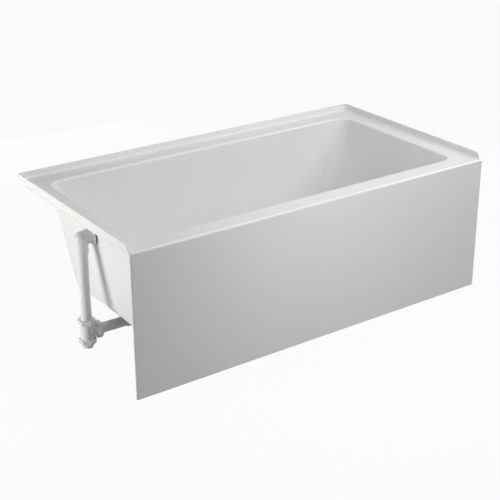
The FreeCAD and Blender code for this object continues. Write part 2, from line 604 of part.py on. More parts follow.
# ---- outlet and stopper -------------------------------------------------------------------
def make_outlet():
    """Strainer with its putty ring, guide post and the push stopper that rides on it."""
    centre = Vector(DRAIN_X, 0, 0)
    flange_low = RECESS_LEVEL + PUTTY
    flange_top = flange_low + STRAINER_THK
    seal_low = flange_top + SEAL_GAP
    plug_low = seal_low + SEAL_THK
    plug_top = plug_low + PLUG_THK + PLUG_DOME
    post_top = plug_top - PLUG_THK - POST_TOP_GAP
    spider_top = post_top - SLEEVE_GRIP - PLUG_LIFT - SLEEVE_END_GAP
    bore_r = BARREL_R - BARREL_WALL
    flange = rod(STRAINER_R, centre + UP * flange_low, UP, STRAINER_THK)
    rim = edges_on(flange, lambda p: abs(p.z - flange_top) < TOL)
    flange = flange.makeChamfer(STRAINER_BEVEL, rim)
    flange = flange.fuse(rod(BARREL_R, centre + UP * (flange_low - BARREL_LENGTH), UP,
                             BARREL_LENGTH))
    flange = flange.removeSplitter()
    flange = flange.cut(rod(bore_r, centre + UP * (flange_low - BARREL_LENGTH), UP,
                            BARREL_LENGTH + STRAINER_THK))
    low = spider_top - SPIDER_HEIGHT
    w, reach = SPIDER_WIDTH / 2.0, bore_r + BARREL_WALL / 2.0
    bars = [box(DRAIN_X - reach, DRAIN_X + reach, -w, w, low, spider_top),
            box(DRAIN_X - w, DRAIN_X + w, -reach, reach, low, spider_top),
            rod(HUB_R, centre + UP * low, UP, SPIDER_HEIGHT)]
    strainer = fuse_all([flange] + bars)
    post_low = low - POST_BELOW_HUB
    strainer = strainer.cut(rod(POST_R + SLIDE_CLEAR, centre + UP * low, UP, SPIDER_HEIGHT))

    dome_r = (PLUG_R ** 2 + PLUG_DOME ** 2) / (2.0 * PLUG_DOME)
    ball = Part.makeSphere(dome_r, centre + UP * (plug_top - dome_r))
    plug = rod(PLUG_R, centre + UP * plug_low, UP, PLUG_THK + PLUG_DOME).common(ball)
    plug = plug.fuse(rod(PLUG_BOSS_R, centre + UP * (plug_low - PLUG_BOSS_DROP), UP,
                         PLUG_BOSS_DROP + PLUG_THK)).removeSplitter()
    sleeve_r = POST_R + SLIDE_CLEAR + SLEEVE_WALL
    sleeve_low = spider_top + SLEEVE_END_GAP
    sleeve = tube(sleeve_r, POST_R + SLIDE_CLEAR, centre + UP * sleeve_low, UP,
                  plug_low - sleeve_low)
    socket = rod(sleeve_r + SLIDE_CLEAR, centre + UP * (plug_low - PLUG_BOSS_DROP), UP,
                 PLUG_BOSS_DROP)
    well = rod(POST_R + SLIDE_CLEAR, centre + UP * plug_low, UP, post_top + POST_TOP_GAP - plug_low)
    plug = plug.cut(socket).cut(well)
    return {"drain_strainer": strainer,
            "putty_ring": tube(STRAINER_R - PUTTY_INSET, DRAIN_HOLE_R, centre + UP * RECESS_LEVEL,
                               UP, PUTTY),
            "stopper_post": rod(POST_R, centre + UP * post_low, UP, post_top - post_low),
            "stopper_cap": plug,
            "stopper_seal": tube(SEAL_R, SEAL_INNER_R, centre + UP * seal_low, UP, SEAL_THK),
            "stopper_sleeve": sleeve}


# ---- waste pipes and overflow -------------------------------------------------------------
def make_waste():
    """Shoe under the outlet, arm, tee, upright pipe and tailpiece with their slip joints."""
    under = RECESS_LEVEL - SHEET
    centre = Vector(DRAIN_X, 0, 0)
    shoe_top = under - SHOE_GASKET
    arm_z = shoe_top - ARM_DROP
    bend = Vector(DRAIN_X, 0, arm_z)
    left = ALONG_X * -1.0
    bore = PIPE_R - PIPE_WALL
    cup_r = BARREL_R + SLIDE_CLEAR
    outer = [rod(SHOE_R, bend, UP, shoe_top - arm_z), Part.makeSphere(SHOE_R, bend),
             rod(SHOE_FLANGE_R, centre + UP * (shoe_top - SHOE_FLANGE_THK), UP, SHOE_FLANGE_THK),
             rod(FITTING_R, bend, left, SHOE_REACH)]
    shoe = fuse_all(outer)
    shoe = shoe.cut(fuse_all([rod(cup_r, bend, UP, shoe_top - arm_z), Part.makeSphere(cup_r, bend),
                              rod(bore, bend, left, SHOE_REACH)]))
    socket_start = bend + left * (SHOE_REACH - SOCKET_DEPTH)
    shoe = shoe.cut(rod(PIPE_R + SOCKET_CLEAR, socket_start, left, SOCKET_DEPTH))

    hub = Vector(STACK_X, 0, arm_z)
    tee_outer = fuse_all([rod(FITTING_R, hub + DOWN * TEE_BELOW, UP, TEE_BELOW + TEE_ABOVE),
                          rod(FITTING_R, hub, ALONG_X, TEE_REACH)])
    tee_inner = fuse_all([rod(bore, hub + DOWN * TEE_BELOW, UP, TEE_BELOW + TEE_ABOVE),
                          rod(bore, hub, ALONG_X, TEE_REACH)])
    socket_r = PIPE_R + SOCKET_CLEAR
    sockets = [rod(socket_r, hub + UP * (TEE_ABOVE - SOCKET_DEPTH), UP, SOCKET_DEPTH),
               rod(socket_r, hub + DOWN * TEE_BELOW, UP, TAIL_SOCKET_DEPTH),
               rod(socket_r, hub + ALONG_X * (TEE_REACH - SOCKET_DEPTH), ALONG_X, SOCKET_DEPTH)]
    tee = tee_outer.cut(tee_inner)
    for socket in sockets:
        tee = tee.cut(socket)

    in_socket = SOCKET_DEPTH - PIPE_END_GAP
    arm_start = hub + ALONG_X * (TEE_REACH - in_socket)
    arm_length = socket_start.x - PIPE_END_GAP - arm_start.x
    rise_start = hub + UP * (TEE_ABOVE - in_socket)
    rise_top = overflow_bend().z - ELBOW_DOWN + in_socket
    tail_top = arm_z - TEE_BELOW + TAIL_SOCKET_DEPTH - PIPE_END_GAP
    tail = tube(PIPE_R, bore, Vector(STACK_X, 0, TAIL_END), UP, tail_top - TAIL_END)
    mark_low = arm_z - TEE_BELOW - WASTE_NUT_COVER - TAIL_MARK
    mark = tube(PIPE_R + SOCKET_CLEAR, PIPE_R - TAIL_MARK_DEPTH,
                Vector(STACK_X, 0, mark_low), UP, TAIL_MARK)
    pieces = {"shoe_gasket": tube(SHOE_FLANGE_R, DRAIN_HOLE_R, centre + UP * shoe_top, UP,
                                  SHOE_GASKET),
              "drain_shoe": shoe,
              "waste_tee": tee,
              "waste_arm": tube(PIPE_R, bore, arm_start, ALONG_X, arm_length),
              "overflow_pipe": tube(PIPE_R, bore, rise_start, UP, rise_top - rise_start.z),
              "tailpiece": tail.cut(mark)}
    joints = {"arm": (hub + ALONG_X * TEE_REACH, ALONG_X),
              "overflow": (hub + UP * TEE_ABOVE, UP),
              "tail": (hub + DOWN * TEE_BELOW, DOWN)}
    washers = []
    for name, (end, outwards) in joints.items():
        pieces["slip_nut_" + name] = make_slip_nut(end, outwards)
        washers.append(tube(FITTING_R - WASHER_INSET, socket_r, end, outwards, WASTE_WASHER))
    pieces["slip_washers"] = group(washers)
    return pieces


def make_slip_nut(end, outwards):
    """A capped hexagonal nut over the end of a fitting, its opening round the pipe."""
    low = WASTE_NUT_COVER - WASTE_NUT_LENGTH
    nut = hexagon_bar(NUT_FLATS_WASTE, Vector(0, 0, low), WASTE_NUT_LENGTH)
    trimmed_r = NUT_FLATS_WASTE / math.sqrt(3.0) - WASTE_NUT_TRIM
    nut = nut.common(rod(trimmed_r, Vector(0, 0, low), UP, WASTE_NUT_LENGTH))
    nut = nut.cut(rod(FITTING_R + SLIDE_CLEAR, Vector(0, 0, low), UP,
                      WASTE_NUT_LENGTH - WASTE_NUT_CAP))
    nut = nut.cut(rod(PIPE_R + SOCKET_CLEAR, Vector(0, 0, 0), UP, WASTE_NUT_COVER))
    turn = FreeCAD.Rotation(UP, outwards)
    nut.Placement = FreeCAD.Placement(end, turn)
    return nut


def overflow_bend():
    """Centre of the overflow elbow's bend, over the upright pipe."""
    centre, inwards = overflow_axis()
    return centre - inwards * ((centre.x - STACK_X) / inwards.x)


def make_overflow():
    """Overflow plate and screws in the basin, gasket and elbow behind the wall."""
    centre, inwards = overflow_axis()
    bend = overflow_bend()
    outwards = inwards * -1.0
    behind = centre + outwards * BACKED
    face = behind + outwards * OVERFLOW_GASKET
    gasket = tube(OVERFLOW_GASKET_R, OVERFLOW_HOLE_R, behind, outwards, OVERFLOW_GASKET)
    depth = (face - bend).Length
    bore, socket_r = PIPE_R - PIPE_WALL, PIPE_R + SOCKET_CLEAR
    outer = [rod(OVERFLOW_GASKET_R, face, outwards, ELBOW_FLANGE_THK),
             rod(ELBOW_R, face, outwards, depth), Part.makeSphere(ELBOW_R, bend),
             rod(FITTING_R, bend, DOWN, ELBOW_DOWN)]
    inner = [rod(ELBOW_BORE_R, face, outwards, depth), Part.makeSphere(ELBOW_BORE_R, bend),
             rod(bore, bend, DOWN, ELBOW_DOWN)]
    elbow = fuse_all(outer).cut(fuse_all(inner))
    elbow = elbow.cut(rod(socket_r, bend + DOWN * (ELBOW_DOWN - SOCKET_DEPTH), DOWN, SOCKET_DEPTH))
    ring = rod(ELBOW_R, face, outwards, depth)
    for side in (-1, 1):
        spot = face + ALONG_Y * (side * PLATE_SCREW_SPREAD)
        boss = rod(BOSS_R, spot, outwards, BOSS_DEPTH).common(ring)
        elbow = elbow.fuse(boss)
    elbow = elbow.removeSplitter()

    plate = rod(PLATE_R, Vector(0, 0, PLATE_GAP), UP, PLATE_DEPTH)
    top_rim = edges_on(plate, lambda p: abs(p.z - PLATE_GAP - PLATE_DEPTH) < TOL)
    plate = plate.makeFillet(PLATE_EDGE_R, top_rim)
    hollow = rod(PLATE_R - PLATE_THK, Vector(0, 0, PLATE_GAP), UP, PLATE_DEPTH - PLATE_THK)
    hollow_rim = edges_on(hollow, lambda p: abs(p.z - PLATE_GAP - PLATE_DEPTH + PLATE_THK) < TOL)
    plate = plate.cut(hollow.makeFillet(PLATE_EDGE_R - PLATE_THK, hollow_rim))
    slot = rod(PLATE_SLOT_R, Vector(PLATE_R, 0, PLATE_GAP), UP, PLATE_DEPTH / 2.0)
    plate = plate.cut(slot)
    screws = []
    for side in (-1, 1):
        spot = Vector(0, side * PLATE_SCREW_SPREAD, 0)
        plate = plate.cut(rod(PLATE_SCREW_R + SCREW_CLEAR, spot, UP, PLATE_DEPTH + PLATE_GAP))
        top = PLATE_GAP + PLATE_DEPTH
        low = -BACKED - OVERFLOW_GASKET - PLATE_SCREW_GRIP
        head = rod(PLATE_SCREW_HEAD_R, spot + UP * top, UP, PLATE_SCREW_HEAD)
        crown = edges_on(head, lambda p: abs(p.z - top - PLATE_SCREW_HEAD) < TOL)
        head = head.makeFillet(PLATE_SCREW_CROWN_R, crown)
        screws.append(head.fuse(rod(PLATE_SCREW_R, spot + UP * low, UP, top - low)).removeSplitter())
    spin = FreeCAD.Rotation(ALONG_Y, 90.0 - SLOPE_LEFT)
    on_wall = FreeCAD.Placement(centre, spin)
    plate.Placement = on_wall
    screw_group = group(screws)
    screw_group.Placement = on_wall
    for side in (-1, 1):
        start = centre + ALONG_Y * (side * PLATE_SCREW_SPREAD)
        hole = rod(PLATE_SCREW_R + SCREW_CLEAR, start, outwards,
                   BACKED + OVERFLOW_GASKET + PLATE_SCREW_GRIP + PILOT_SPARE)
        elbow = elbow.cut(hole)
    return {"overflow_plate": plate, "overflow_screws": screw_group,
            "overflow_gasket": gasket, "overflow_elbow": elbow}


def main():
    """Build every piece and write each to its own file."""
    os.makedirs("parts", exist_ok=True)
    pieces = {"bath_shell": make_shell()}
    pieces.update(make_backing())
    pieces.update(make_base())
    pieces.update(make_legs())
    pieces.update(make_outlet())
    pieces.update(make_waste())
    pieces.update(make_overflow())
    for name, shape in pieces.items():
        print("%-24s solids %2d valid %s volume %10.1f cm3" % (
            name, len(shape.Solids), shape.isValid(), shape.Volume / 1000.0))
        shape.exportStep("parts/%s.step" % name)
    print("pieces", len(pieces))


main()
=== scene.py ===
"""Alcove bathtub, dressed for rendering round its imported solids.

Units are metres. X runs along the bath towards the backrest, Y from the apron to the back wall
and Z up from the floor. Each class makes one sub-assembly and puts it on its body.
"""
from __future__ import annotations

import json
import logging
import math
from dataclasses import dataclass, field, replace
from enum import Enum

import bmesh
import bpy
import numpy as np
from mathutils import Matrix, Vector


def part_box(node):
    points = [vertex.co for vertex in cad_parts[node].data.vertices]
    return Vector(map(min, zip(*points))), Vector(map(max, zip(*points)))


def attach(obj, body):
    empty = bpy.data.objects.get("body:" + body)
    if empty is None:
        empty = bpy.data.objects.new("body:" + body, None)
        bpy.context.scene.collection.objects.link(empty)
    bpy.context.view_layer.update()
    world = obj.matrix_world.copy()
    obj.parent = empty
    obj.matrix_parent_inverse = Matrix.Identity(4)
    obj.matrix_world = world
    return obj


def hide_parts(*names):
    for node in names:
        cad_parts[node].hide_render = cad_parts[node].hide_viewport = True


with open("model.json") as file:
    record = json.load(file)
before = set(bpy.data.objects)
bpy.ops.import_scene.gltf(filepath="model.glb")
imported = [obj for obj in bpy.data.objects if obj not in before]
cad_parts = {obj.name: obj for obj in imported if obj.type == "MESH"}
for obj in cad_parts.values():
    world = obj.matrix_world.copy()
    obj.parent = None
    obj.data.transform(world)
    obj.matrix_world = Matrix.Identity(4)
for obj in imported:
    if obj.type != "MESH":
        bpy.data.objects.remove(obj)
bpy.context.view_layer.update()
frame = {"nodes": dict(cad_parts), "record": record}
LOG = logging.getLogger("bathtub")
MM = 0.001
QUARTER = math.pi / 2.0
SAME_POINT = 2e-6
WELD_REACH = 3e-7
LEAST_EDGE = WELD_REACH / 4.0
FACE_WEIGHT = 80
BORE_SIDES = 72
BORE_LENGTH = 60.0 * MM
CLOUD_STOPS = (0.3, 0.7)


# ---- mesh work ------------------------------------------------------------------------------
class Builder:
    """Collects grids of points and single faces, and welds them into one mesh."""

    def __init__(self) -> None:
        """Starts with nothing in it."""
        self.points: list[np.ndarray] = []
        self.faces: list[tuple[int, ...]] = []
        self.count = 0

    def grid(self, points: np.ndarray, closed_columns: bool = False) -> None:
        """Adds a grid of points joined into four-sided faces.

        Args:
            points: rows by columns by 3.
            closed_columns: joins the last column to the first.
        """
        rows, columns = points.shape[:2]
        index = np.arange(rows * columns).reshape(rows, columns) + self.count
        if closed_columns:
            index = np.hstack([index, index[:, :1]])
        corners = [index[:-1, :-1], index[:-1, 1:], index[1:, 1:], index[1:, :-1]]
        self.faces += [tuple(quad) for quad in np.stack(corners, axis=-1).reshape(-1, 4).tolist()]
        self.points.append(points.reshape(-1, 3))
        self.count += rows * columns

    def cap(self, loop: np.ndarray) -> None:
        """Adds one flat face.

        Args:
            loop: the points round it, N by 3.
        """
        self.faces.append(tuple(range(self.count, self.count + len(loop))))
        self.points.append(loop)
        self.count += len(loop)

    def mesh(self, name: str) -> bpy.types.Mesh:
        """Welds what was added and turns every face outwards.

        Args:
            name: the mesh's name.

        Returns:
            The welded mesh.
        """
        made = bpy.data.meshes.new(name)
        made.from_pydata(np.vstack(self.points), [], self.faces)
        work = bmesh.new()
        work.from_mesh(made)
        bmesh.ops.remove_doubles(work, verts=work.verts, dist=WELD_REACH)
        bmesh.ops.dissolve_degenerate(work, dist=LEAST_EDGE, edges=work.edges)
        bmesh.ops.recalc_face_normals(work, faces=work.faces)
        loose = sum(1 for edge in work.edges if len(edge.link_faces) != 2)
        if loose:
            LOG.warning("%s: %d edges do not join two faces", name, loose)
        work.to_mesh(made)
        work.free()
        return made


def shade(mesh: bpy.types.Mesh, crease: float = 34.0) -> None:
    """Smooths a mesh but keeps the edges that turn by more than crease degrees."""
    mesh.shade_smooth()
    mesh.set_sharp_from_angle(angle=math.radians(crease))


def added(name: str, data: bpy.types.ID) -> bpy.types.Object:
    """Makes an object and links it into the scene.

    Args:
        name: the object's name.
        data: its mesh, lamp or camera.

    Returns:
        The new object.
    """
    made = bpy.data.objects.new(name, data)
    bpy.context.collection.objects.link(made)
    return made


def piece(name: str, mesh: bpy.types.Mesh, finish: bpy.types.Material, body: str, node: str) -> bpy.types.Object:
    """Puts a mesh into the scene as one piece of the bath, its large faces kept flat in the shading.

    Args:
        name: the piece's name.
        mesh: its mesh, in place.
        finish: its material.
        body: the body that it moves with.
        node: the solid that it stands for.

    Returns:
        The new object.
    """
    made = added(name, mesh)
    made.data.materials.clear()
    made.data.materials.append(finish)
    normals = made.modifiers.new("flat faces stay flat", "WEIGHTED_NORMAL")
    normals.keep_sharp = True
    normals.weight = FACE_WEIGHT
    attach(made, body)
    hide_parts(node)
    LOG.info("%s: %d faces on %s", name, len(mesh.polygons), body)
    return made


def body_of(node: str) -> str:
    """Finds the body that a solid rides on.

    Args:
        node: the solid's name.

    Returns:
        The body's name.
    """
    for name, nodes in frame["record"]["behaviour"]["bodies"].items():
        if node in nodes:
            return name
    raise KeyError(node)


def cut_bore(mesh: bpy.types.Mesh, centre: np.ndarray, axis: np.ndarray,
             radius: float) -> bpy.types.Mesh:
    """Cuts a round hole through a mesh with a bar that lies half to each side of the centre.

    Args:
        mesh: the closed mesh to cut.
        centre: a point on the hole's axis.
        axis: the hole's direction, of unit length.
        radius: the hole's radius.

    Returns:
        The mesh with the hole.
    """
    side = np.cross(axis, [0.0, 1.0, 0.0])
    side /= np.linalg.norm(side)
    other = np.cross(axis, side)
    turn = np.linspace(0.0, 2.0 * math.pi, BORE_SIDES, endpoint=False)[None, :, None]
    circle = radius * (np.cos(turn) * side + np.sin(turn) * other)
    along = np.array([-0.5, 0.5])[:, None, None] * BORE_LENGTH * axis
    bar = Builder()
    bar.grid(centre + along + circle, closed_columns=True)
    bar.cap((centre + along[0] + circle[0])[::-1])
    bar.cap(centre + along[1] + circle[0])
    cutter = added("bore cutter", bar.mesh("bore cutter"))
    target = added("bore target", mesh)
    cut = target.modifiers.new("bore", "BOOLEAN")
    cut.object = cutter
    cut.solver = "EXACT"
    cut.operation = "DIFFERENCE"
    bpy.context.view_layer.update()
    seen = target.evaluated_get(bpy.context.evaluated_depsgraph_get())
    result = bpy.data.meshes.new_from_object(seen)
    for part in (cutter, target):
        bpy.data.objects.remove(part)
    return result


# ---- materials ------------------------------------------------------------------------------
class Graph:
    """A new material with its shader, and short calls that add nodes to it."""

    def __init__(self, name: str) -> None:
        """Starts a material whose only shader is the standard one.

        Args:
            name: the material's name.
        """
        self.material = bpy.data.materials.new(name)
        self.material.use_nodes = True
        self.tree = self.material.node_tree
        self.shader = self.tree.nodes["Principled BSDF"]
        self.place = self.tree.nodes.new("ShaderNodeTexCoord").outputs["Object"]

    def add(self, kind: str, inputs: dict[str, object] | None = None,
            **settings: object) -> bpy.types.Node:
        """Adds a node.

        Args:
            kind: the node's type, without its first words.
            inputs: values or sockets for its inputs.
            settings: the node's own settings.

        Returns:
            The node.
        """
        node = self.tree.nodes.new("ShaderNode" + kind)
        for key, value in settings.items():
            setattr(node, key, value)
        for key, value in (inputs or {}).items():
            self.feed(node, key, value)
        return node

    def feed(self, node: bpy.types.Node, key: str | int, value: object) -> None:
        """Joins a socket to an input, or sets the input's value.

        Args:
            node: the node that has the input.
            key: the input's name or number.
            value: the socket or the value.
        """
        if isinstance(value, bpy.types.NodeSocket):
            self.tree.links.new(value, node.inputs[key])
        else:
            node.inputs[key].default_value = value

    def spread(self, scale: tuple[float, float, float],
               turn: tuple[float, float, float] = (0.0, 0.0, 0.0)) -> bpy.types.NodeSocket:
        """Object coordinates, scaled and turned."""
        return self.add("Mapping", {"Vector": self.place, "Scale": scale, "Rotation": turn}).outputs[0]

    def noise(self, scale: float, detail: float = 3.0, rough: float = 0.5,
              place: bpy.types.NodeSocket | None = None) -> bpy.types.NodeSocket:
        """Soft cloudy noise between 0 and 1."""
        return self.add("TexNoise", {"Vector": place or self.place, "Scale": scale,
                                     "Detail": detail, "Roughness": rough}).outputs["Fac"]

    def ramp(self, value: bpy.types.NodeSocket, stops: tuple[float, float],
             low: tuple[float, float, float],
             high: tuple[float, float, float]) -> bpy.types.NodeSocket:
        """Turns a value into a colour that goes evenly from one to another.

        Args:
            value: the value, between 0 and 1.
            stops: the values where the change begins and ends.
            low: the colour up to the first stop.
            high: the colour from the second stop.

        Returns:
            The colour.
        """
        node = self.add("ValToRGB", {"Fac": value})
        for element, position, colour in zip(node.color_ramp.elements, stops, (low, high)):
            element.position = position
            element.color = (*colour, 1.0)
        return node.outputs["Color"]

    def clouded(self, cloud: bpy.types.NodeSocket, colour: tuple[float, float, float],
                dim: float) -> bpy.types.NodeSocket:
        """A colour that is dimmed where the cloud is low, to a share of itself."""
        low = tuple(part * dim for part in colour)
        return self.ramp(cloud, CLOUD_STOPS, low, colour)

    def between(self, value: bpy.types.NodeSocket, low: float, high: float) -> bpy.types.NodeSocket:
        """A value between 0 and 1 stretched to lie between low and high."""
        return self.add("MapRange", {"Value": value, "To Min": low, "To Max": high}).outputs[0]

    def bump(self, height: bpy.types.NodeSocket, distance: float,
             below: bpy.types.NodeSocket | None = None) -> bpy.types.NodeSocket:
        """Bumps the surface.

        Args:
            height: the bumps, between 0 and 1.
            distance: how high a bump of 1 stands, in metres.
            below: a normal that is bumped already.

        Returns:
            The bumped normal.
        """
        node = self.add("Bump", {"Height": height, "Distance": distance, "Strength": 1.0})
        if below is not None:
            self.feed(node, "Normal", below)
        return node.outputs["Normal"]

    def done(self, **inputs: object) -> bpy.types.Material:
        """Fills the shader's inputs.

        Args:
            inputs: values or sockets, named as the inputs are, with underscores for spaces.

        Returns:
            The material.
        """
        for key, value in inputs.items():
            self.feed(self.shader, key.replace("_", " "), value)
        return self.material


def grey(level: float) -> tuple[float, float, float, float]:
    """A neutral colour."""
    return (level, level, level, 1.0)


@dataclass(frozen=True)
class Acrylic:
    """Glossy cast acrylic sheet, formed over a tool that leaves faint long waves.

    Here and below, a scale is a number of cells to a metre, and a height is in metres.
    """

    colour: tuple[float, float, float] = (0.88, 0.88, 0.88)
    dim: float = 0.992
    shine: tuple[float, float] = (0.18, 0.23)
    index: float = 1.49
    cloud_scale: float = 3.0
    haze_scale: float = 45.0
    wave_scale: float = 5.0
    wave_height: float = 0.00025
    skin_scale: float = 420.0
    skin_height: float = 0.000002

    def material(self) -> bpy.types.Material:
        """Makes the finish.

        Returns:
            Its material.
        """
        graph = Graph("white acrylic")
        cloud = graph.noise(self.cloud_scale, detail=2.0)
        haze = graph.between(graph.noise(self.haze_scale, detail=4.0), *self.shine)
        waves = graph.bump(graph.noise(self.wave_scale, detail=1.0), self.wave_height)
        skin = graph.bump(graph.noise(self.skin_scale, detail=2.0), self.skin_height, waves)
        return graph.done(Base_Color=graph.clouded(cloud, self.colour, self.dim), Roughness=haze,
                          IOR=self.index, Normal=skin)


@dataclass(frozen=True)
class GlassFibre:
    """Chopped strands rolled into white resin, glossy where the resin pooled."""

    resin: tuple[float, float, float] = (0.80, 0.81, 0.79)
    strand: tuple[float, float, float] = (0.88, 0.88, 0.86)
    stops: tuple[float, float] = (0.45, 0.7)
    layers: tuple[tuple[float, float], ...] = ((0.3, 0.0), (1.4, 3.1), (2.5, 7.7))
    strand_run: tuple[float, float, float] = (24.0, 420.0, 420.0)
    strand_tilt: float = 0.7
    strand_height: float = 0.0007
    lump_scale: float = 38.0
    lump_height: float = 0.0012
    shine: tuple[float, float] = (0.3, 0.55)

    def material(self) -> bpy.types.Material:
        """Makes the finish.

        Returns:
            Its material.
        """
        graph = Graph("glass fibre laminate")
        height = None
        for angle, offset in self.layers:
            run = graph.spread(self.strand_run, (angle, angle * self.strand_tilt, angle + offset))
            strands = graph.noise(1.0, detail=2.0, rough=0.6, place=run)
            if height is None:
                height = strands
            else:
                height = graph.add("Math", {0: height, 1: strands}, operation="MAXIMUM").outputs[0]
        tint = graph.ramp(height, self.stops, self.resin, self.strand)
        lumps = graph.bump(graph.noise(self.lump_scale, detail=4.0, rough=0.6), self.lump_height)
        normal = graph.bump(height, self.strand_height, lumps)
        return graph.done(Base_Color=tint, Roughness=graph.between(height, *self.shine), Normal=normal)


class Grain(Enum):
    """Which way a board's grain runs."""

    ALONG_X = (1.0, 9.0, 9.0)
    ALONG_Y = (9.0, 1.0, 9.0)
    ALONG_Z = (9.0, 9.0, 1.0)


@dataclass(frozen=True)
class Softwood:
    """Planed softwood with narrow growth lines along the board."""

    grain: Grain = Grain.ALONG_X
    early: tuple[float, float, float] = (0.72, 0.56, 0.36)
    late: tuple[float, float, float] = (0.52, 0.34, 0.18)
    name: str = "softwood"
    stops: tuple[float, float] = (0.25, 0.6)
    ring_scale: float = 3.0
    ring_count: float = 26.0
    fibre_scale: float = 160.0
    fibre_height: float = 0.0002
    shine: tuple[float, float] = (0.55, 0.8)

    def material(self) -> bpy.types.Material:
        """Makes the finish.

        Returns:
            Its material.
        """
        graph = Graph(self.name + " " + self.grain.name.lower())
        run = graph.spread(self.grain.value)
        warp = graph.noise(self.ring_scale, rough=0.55, place=run)
        lines = graph.add("Math", {0: warp, 1: self.ring_count}, operation="MULTIPLY").outputs[0]
        rings = graph.add("Math", {0: lines}, operation="SINE").outputs[0]
        band = graph.between(rings, 0.0, 1.0)
        fibres = graph.noise(self.fibre_scale, rough=0.7, place=run)
        mixed = graph.add("Math", {0: band, 1: fibres}, operation="MULTIPLY").outputs[0]
        tint = graph.ramp(mixed, self.stops, self.late, self.early)
        return graph.done(Base_Color=tint, Roughness=graph.between(fibres, *self.shine),
                          Normal=graph.bump(fibres, self.fibre_height))


@dataclass(frozen=True)
class Chipboard:
    """Pressed wood particles in tan and brown."""

    pale: tuple[float, float, float] = (0.66, 0.50, 0.31)
    dark: tuple[float, float, float] = (0.36, 0.23, 0.12)
    stops: tuple[float, float] = (0.05, 0.45)
    chip_scale: float = 190.0
    chip_height: float = 0.0003
    fine_scale: float = 700.0
    shine: tuple[float, float] = (0.65, 0.9)

    def material(self) -> bpy.types.Material:
        """Makes the finish.

        Returns:
            Its material.
        """
        graph = Graph("particle board")
        chips = graph.add("TexVoronoi", {"Vector": graph.place, "Scale": self.chip_scale})
        shade_of = graph.add("SeparateColor", {"Color": chips.outputs["Color"]}).outputs["Red"]
        fine = graph.noise(self.fine_scale, rough=0.7)
        mixed = graph.add("Math", {0: shade_of, 1: fine}, operation="MULTIPLY").outputs[0]
        return graph.done(Base_Color=graph.ramp(mixed, self.stops, self.dark, self.pale),
                          Roughness=graph.between(fine, *self.shine),
                          Normal=graph.bump(mixed, self.chip_height))


@dataclass(frozen=True)
class Metal:
    """Plated or turned metal with faint blotches and fine rubbed lines."""

    name: str
    colour: tuple[float, float, float]
    rough: float
    blotch: float
    grain: float
    cloud_scale: float = 60.0
    cloud_rough: float = 1.4
    scratch_run: tuple[float, float, float] = (90.0, 1800.0, 1800.0)

    def material(self) -> bpy.types.Material:
        """Makes the finish.

        Returns:
            Its material.
        """
        graph = Graph(self.name)
        cloud = graph.noise(self.cloud_scale, detail=4.0, rough=0.6)
        scratch = graph.noise(1.0, detail=2.0, rough=0.6, place=graph.spread(self.scratch_run))
        return graph.done(Base_Color=graph.clouded(cloud, self.colour, 1.0 - self.blotch), Metallic=1.0,
                          Roughness=graph.between(cloud, self.rough, self.rough * self.cloud_rough),
                          Normal=graph.bump(scratch, self.grain))


@dataclass(frozen=True)
class Moulded:
    """Plastic, rubber or putty with a fine moulded skin."""

    name: str
    colour: tuple[float, float, float]
    rough: float
    grain: float = 0.00003
    scale: float = 900.0
    dim: float = 0.94
    cloud_scale: float = 25.0
    less_rough: float = 0.05
    more_rough: float = 0.08

    def material(self) -> bpy.types.Material:
        """Makes the finish.

        Returns:
            Its material.
        """
        graph = Graph(self.name)
        cloud = graph.noise(self.cloud_scale)
        skin = graph.noise(self.scale, rough=0.6)
        haze = graph.between(skin, self.rough - self.less_rough, self.rough + self.more_rough)
        return graph.done(Base_Color=graph.clouded(cloud, self.colour, self.dim), Roughness=haze,
                          Normal=graph.bump(skin, self.grain))


ZINC = Metal("bright zinc plate", (0.62, 0.63, 0.64), 0.28, 0.18, 0.000010)
CHROME = Metal("polished chrome plate", (0.80, 0.81, 0.82), 0.06, 0.02, 0.0000005)
BRASS = Metal("turned brass", (0.78, 0.60, 0.32), 0.22, 0.10, 0.000004)
PVC = Moulded("white waste pipe", (0.82, 0.82, 0.81), 0.34)
NYLON = Moulded("nylon washers", (0.80, 0.80, 0.76), 0.40)
FOOT_PLASTIC = Moulded("foot plastic", (0.78, 0.78, 0.76), 0.45)
ACETAL = Moulded("acetal sleeve", (0.84, 0.84, 0.82), 0.35)
RUBBER = Moulded("black rubber", (0.03, 0.03, 0.03), 0.60)
PUTTY = Moulded("putty", (0.62, 0.58, 0.50), 0.75, 0.00012, 260.0)


# ---- moulding and its backing ---------------------------------------------------------------
@dataclass(frozen=True)
class Steps:
    """How many points lie along each part of the moulding's grids."""

    corner: int = 17
    flange_corner: int = 5
    flange_turn: int = 5
    flange_slope: int = 10
    rim: int = 5
    roll: int = 8
    wall: int = 9
    floor_bend: int = 11
    floor: int = 13
    apron: int = 22
    crown: int = 14
    wide_arc: int = 6
    narrow_arc: int = 3


STEPS = Steps()


@dataclass(frozen=True)
class Ring:
    """Stations round the flat rim, each tied to a place on the basin's outline.

    Attributes:
        edge: N by 2, where the flat rim meets roll or flange foot.
        share: N by 2, place on the rectangle of the corner centres, 0 to 1 each way.
        out: N by 2, outward direction at the basin's outline.
    """

    edge: np.ndarray
    share: np.ndarray
    out: np.ndarray


@dataclass(frozen=True)
class EdgePath:
    """Stations along the moulding's outer edge, from one foot of the apron to the other.

    Attributes:
        base: P by 3, the line where the edge band begins on the face side.
        outward: P by 3, away from the middle of the sheet, in its surface.
        normal: P by 3, out of the sheet's face.
        height: P, how far the tiling flange stands up.
        bend: P, outer radius of the flange's bend.
    """

    base: np.ndarray
    outward: np.ndarray
    normal: np.ndarray
    height: np.ndarray
    bend: np.ndarray


def smooth_step(value: np.ndarray) -> np.ndarray:
    """0 below 0, 1 above 1 and a smooth curve between."""
    held = np.clip(value, 0.0, 1.0)
    return held * held * (3.0 - 2.0 * held)


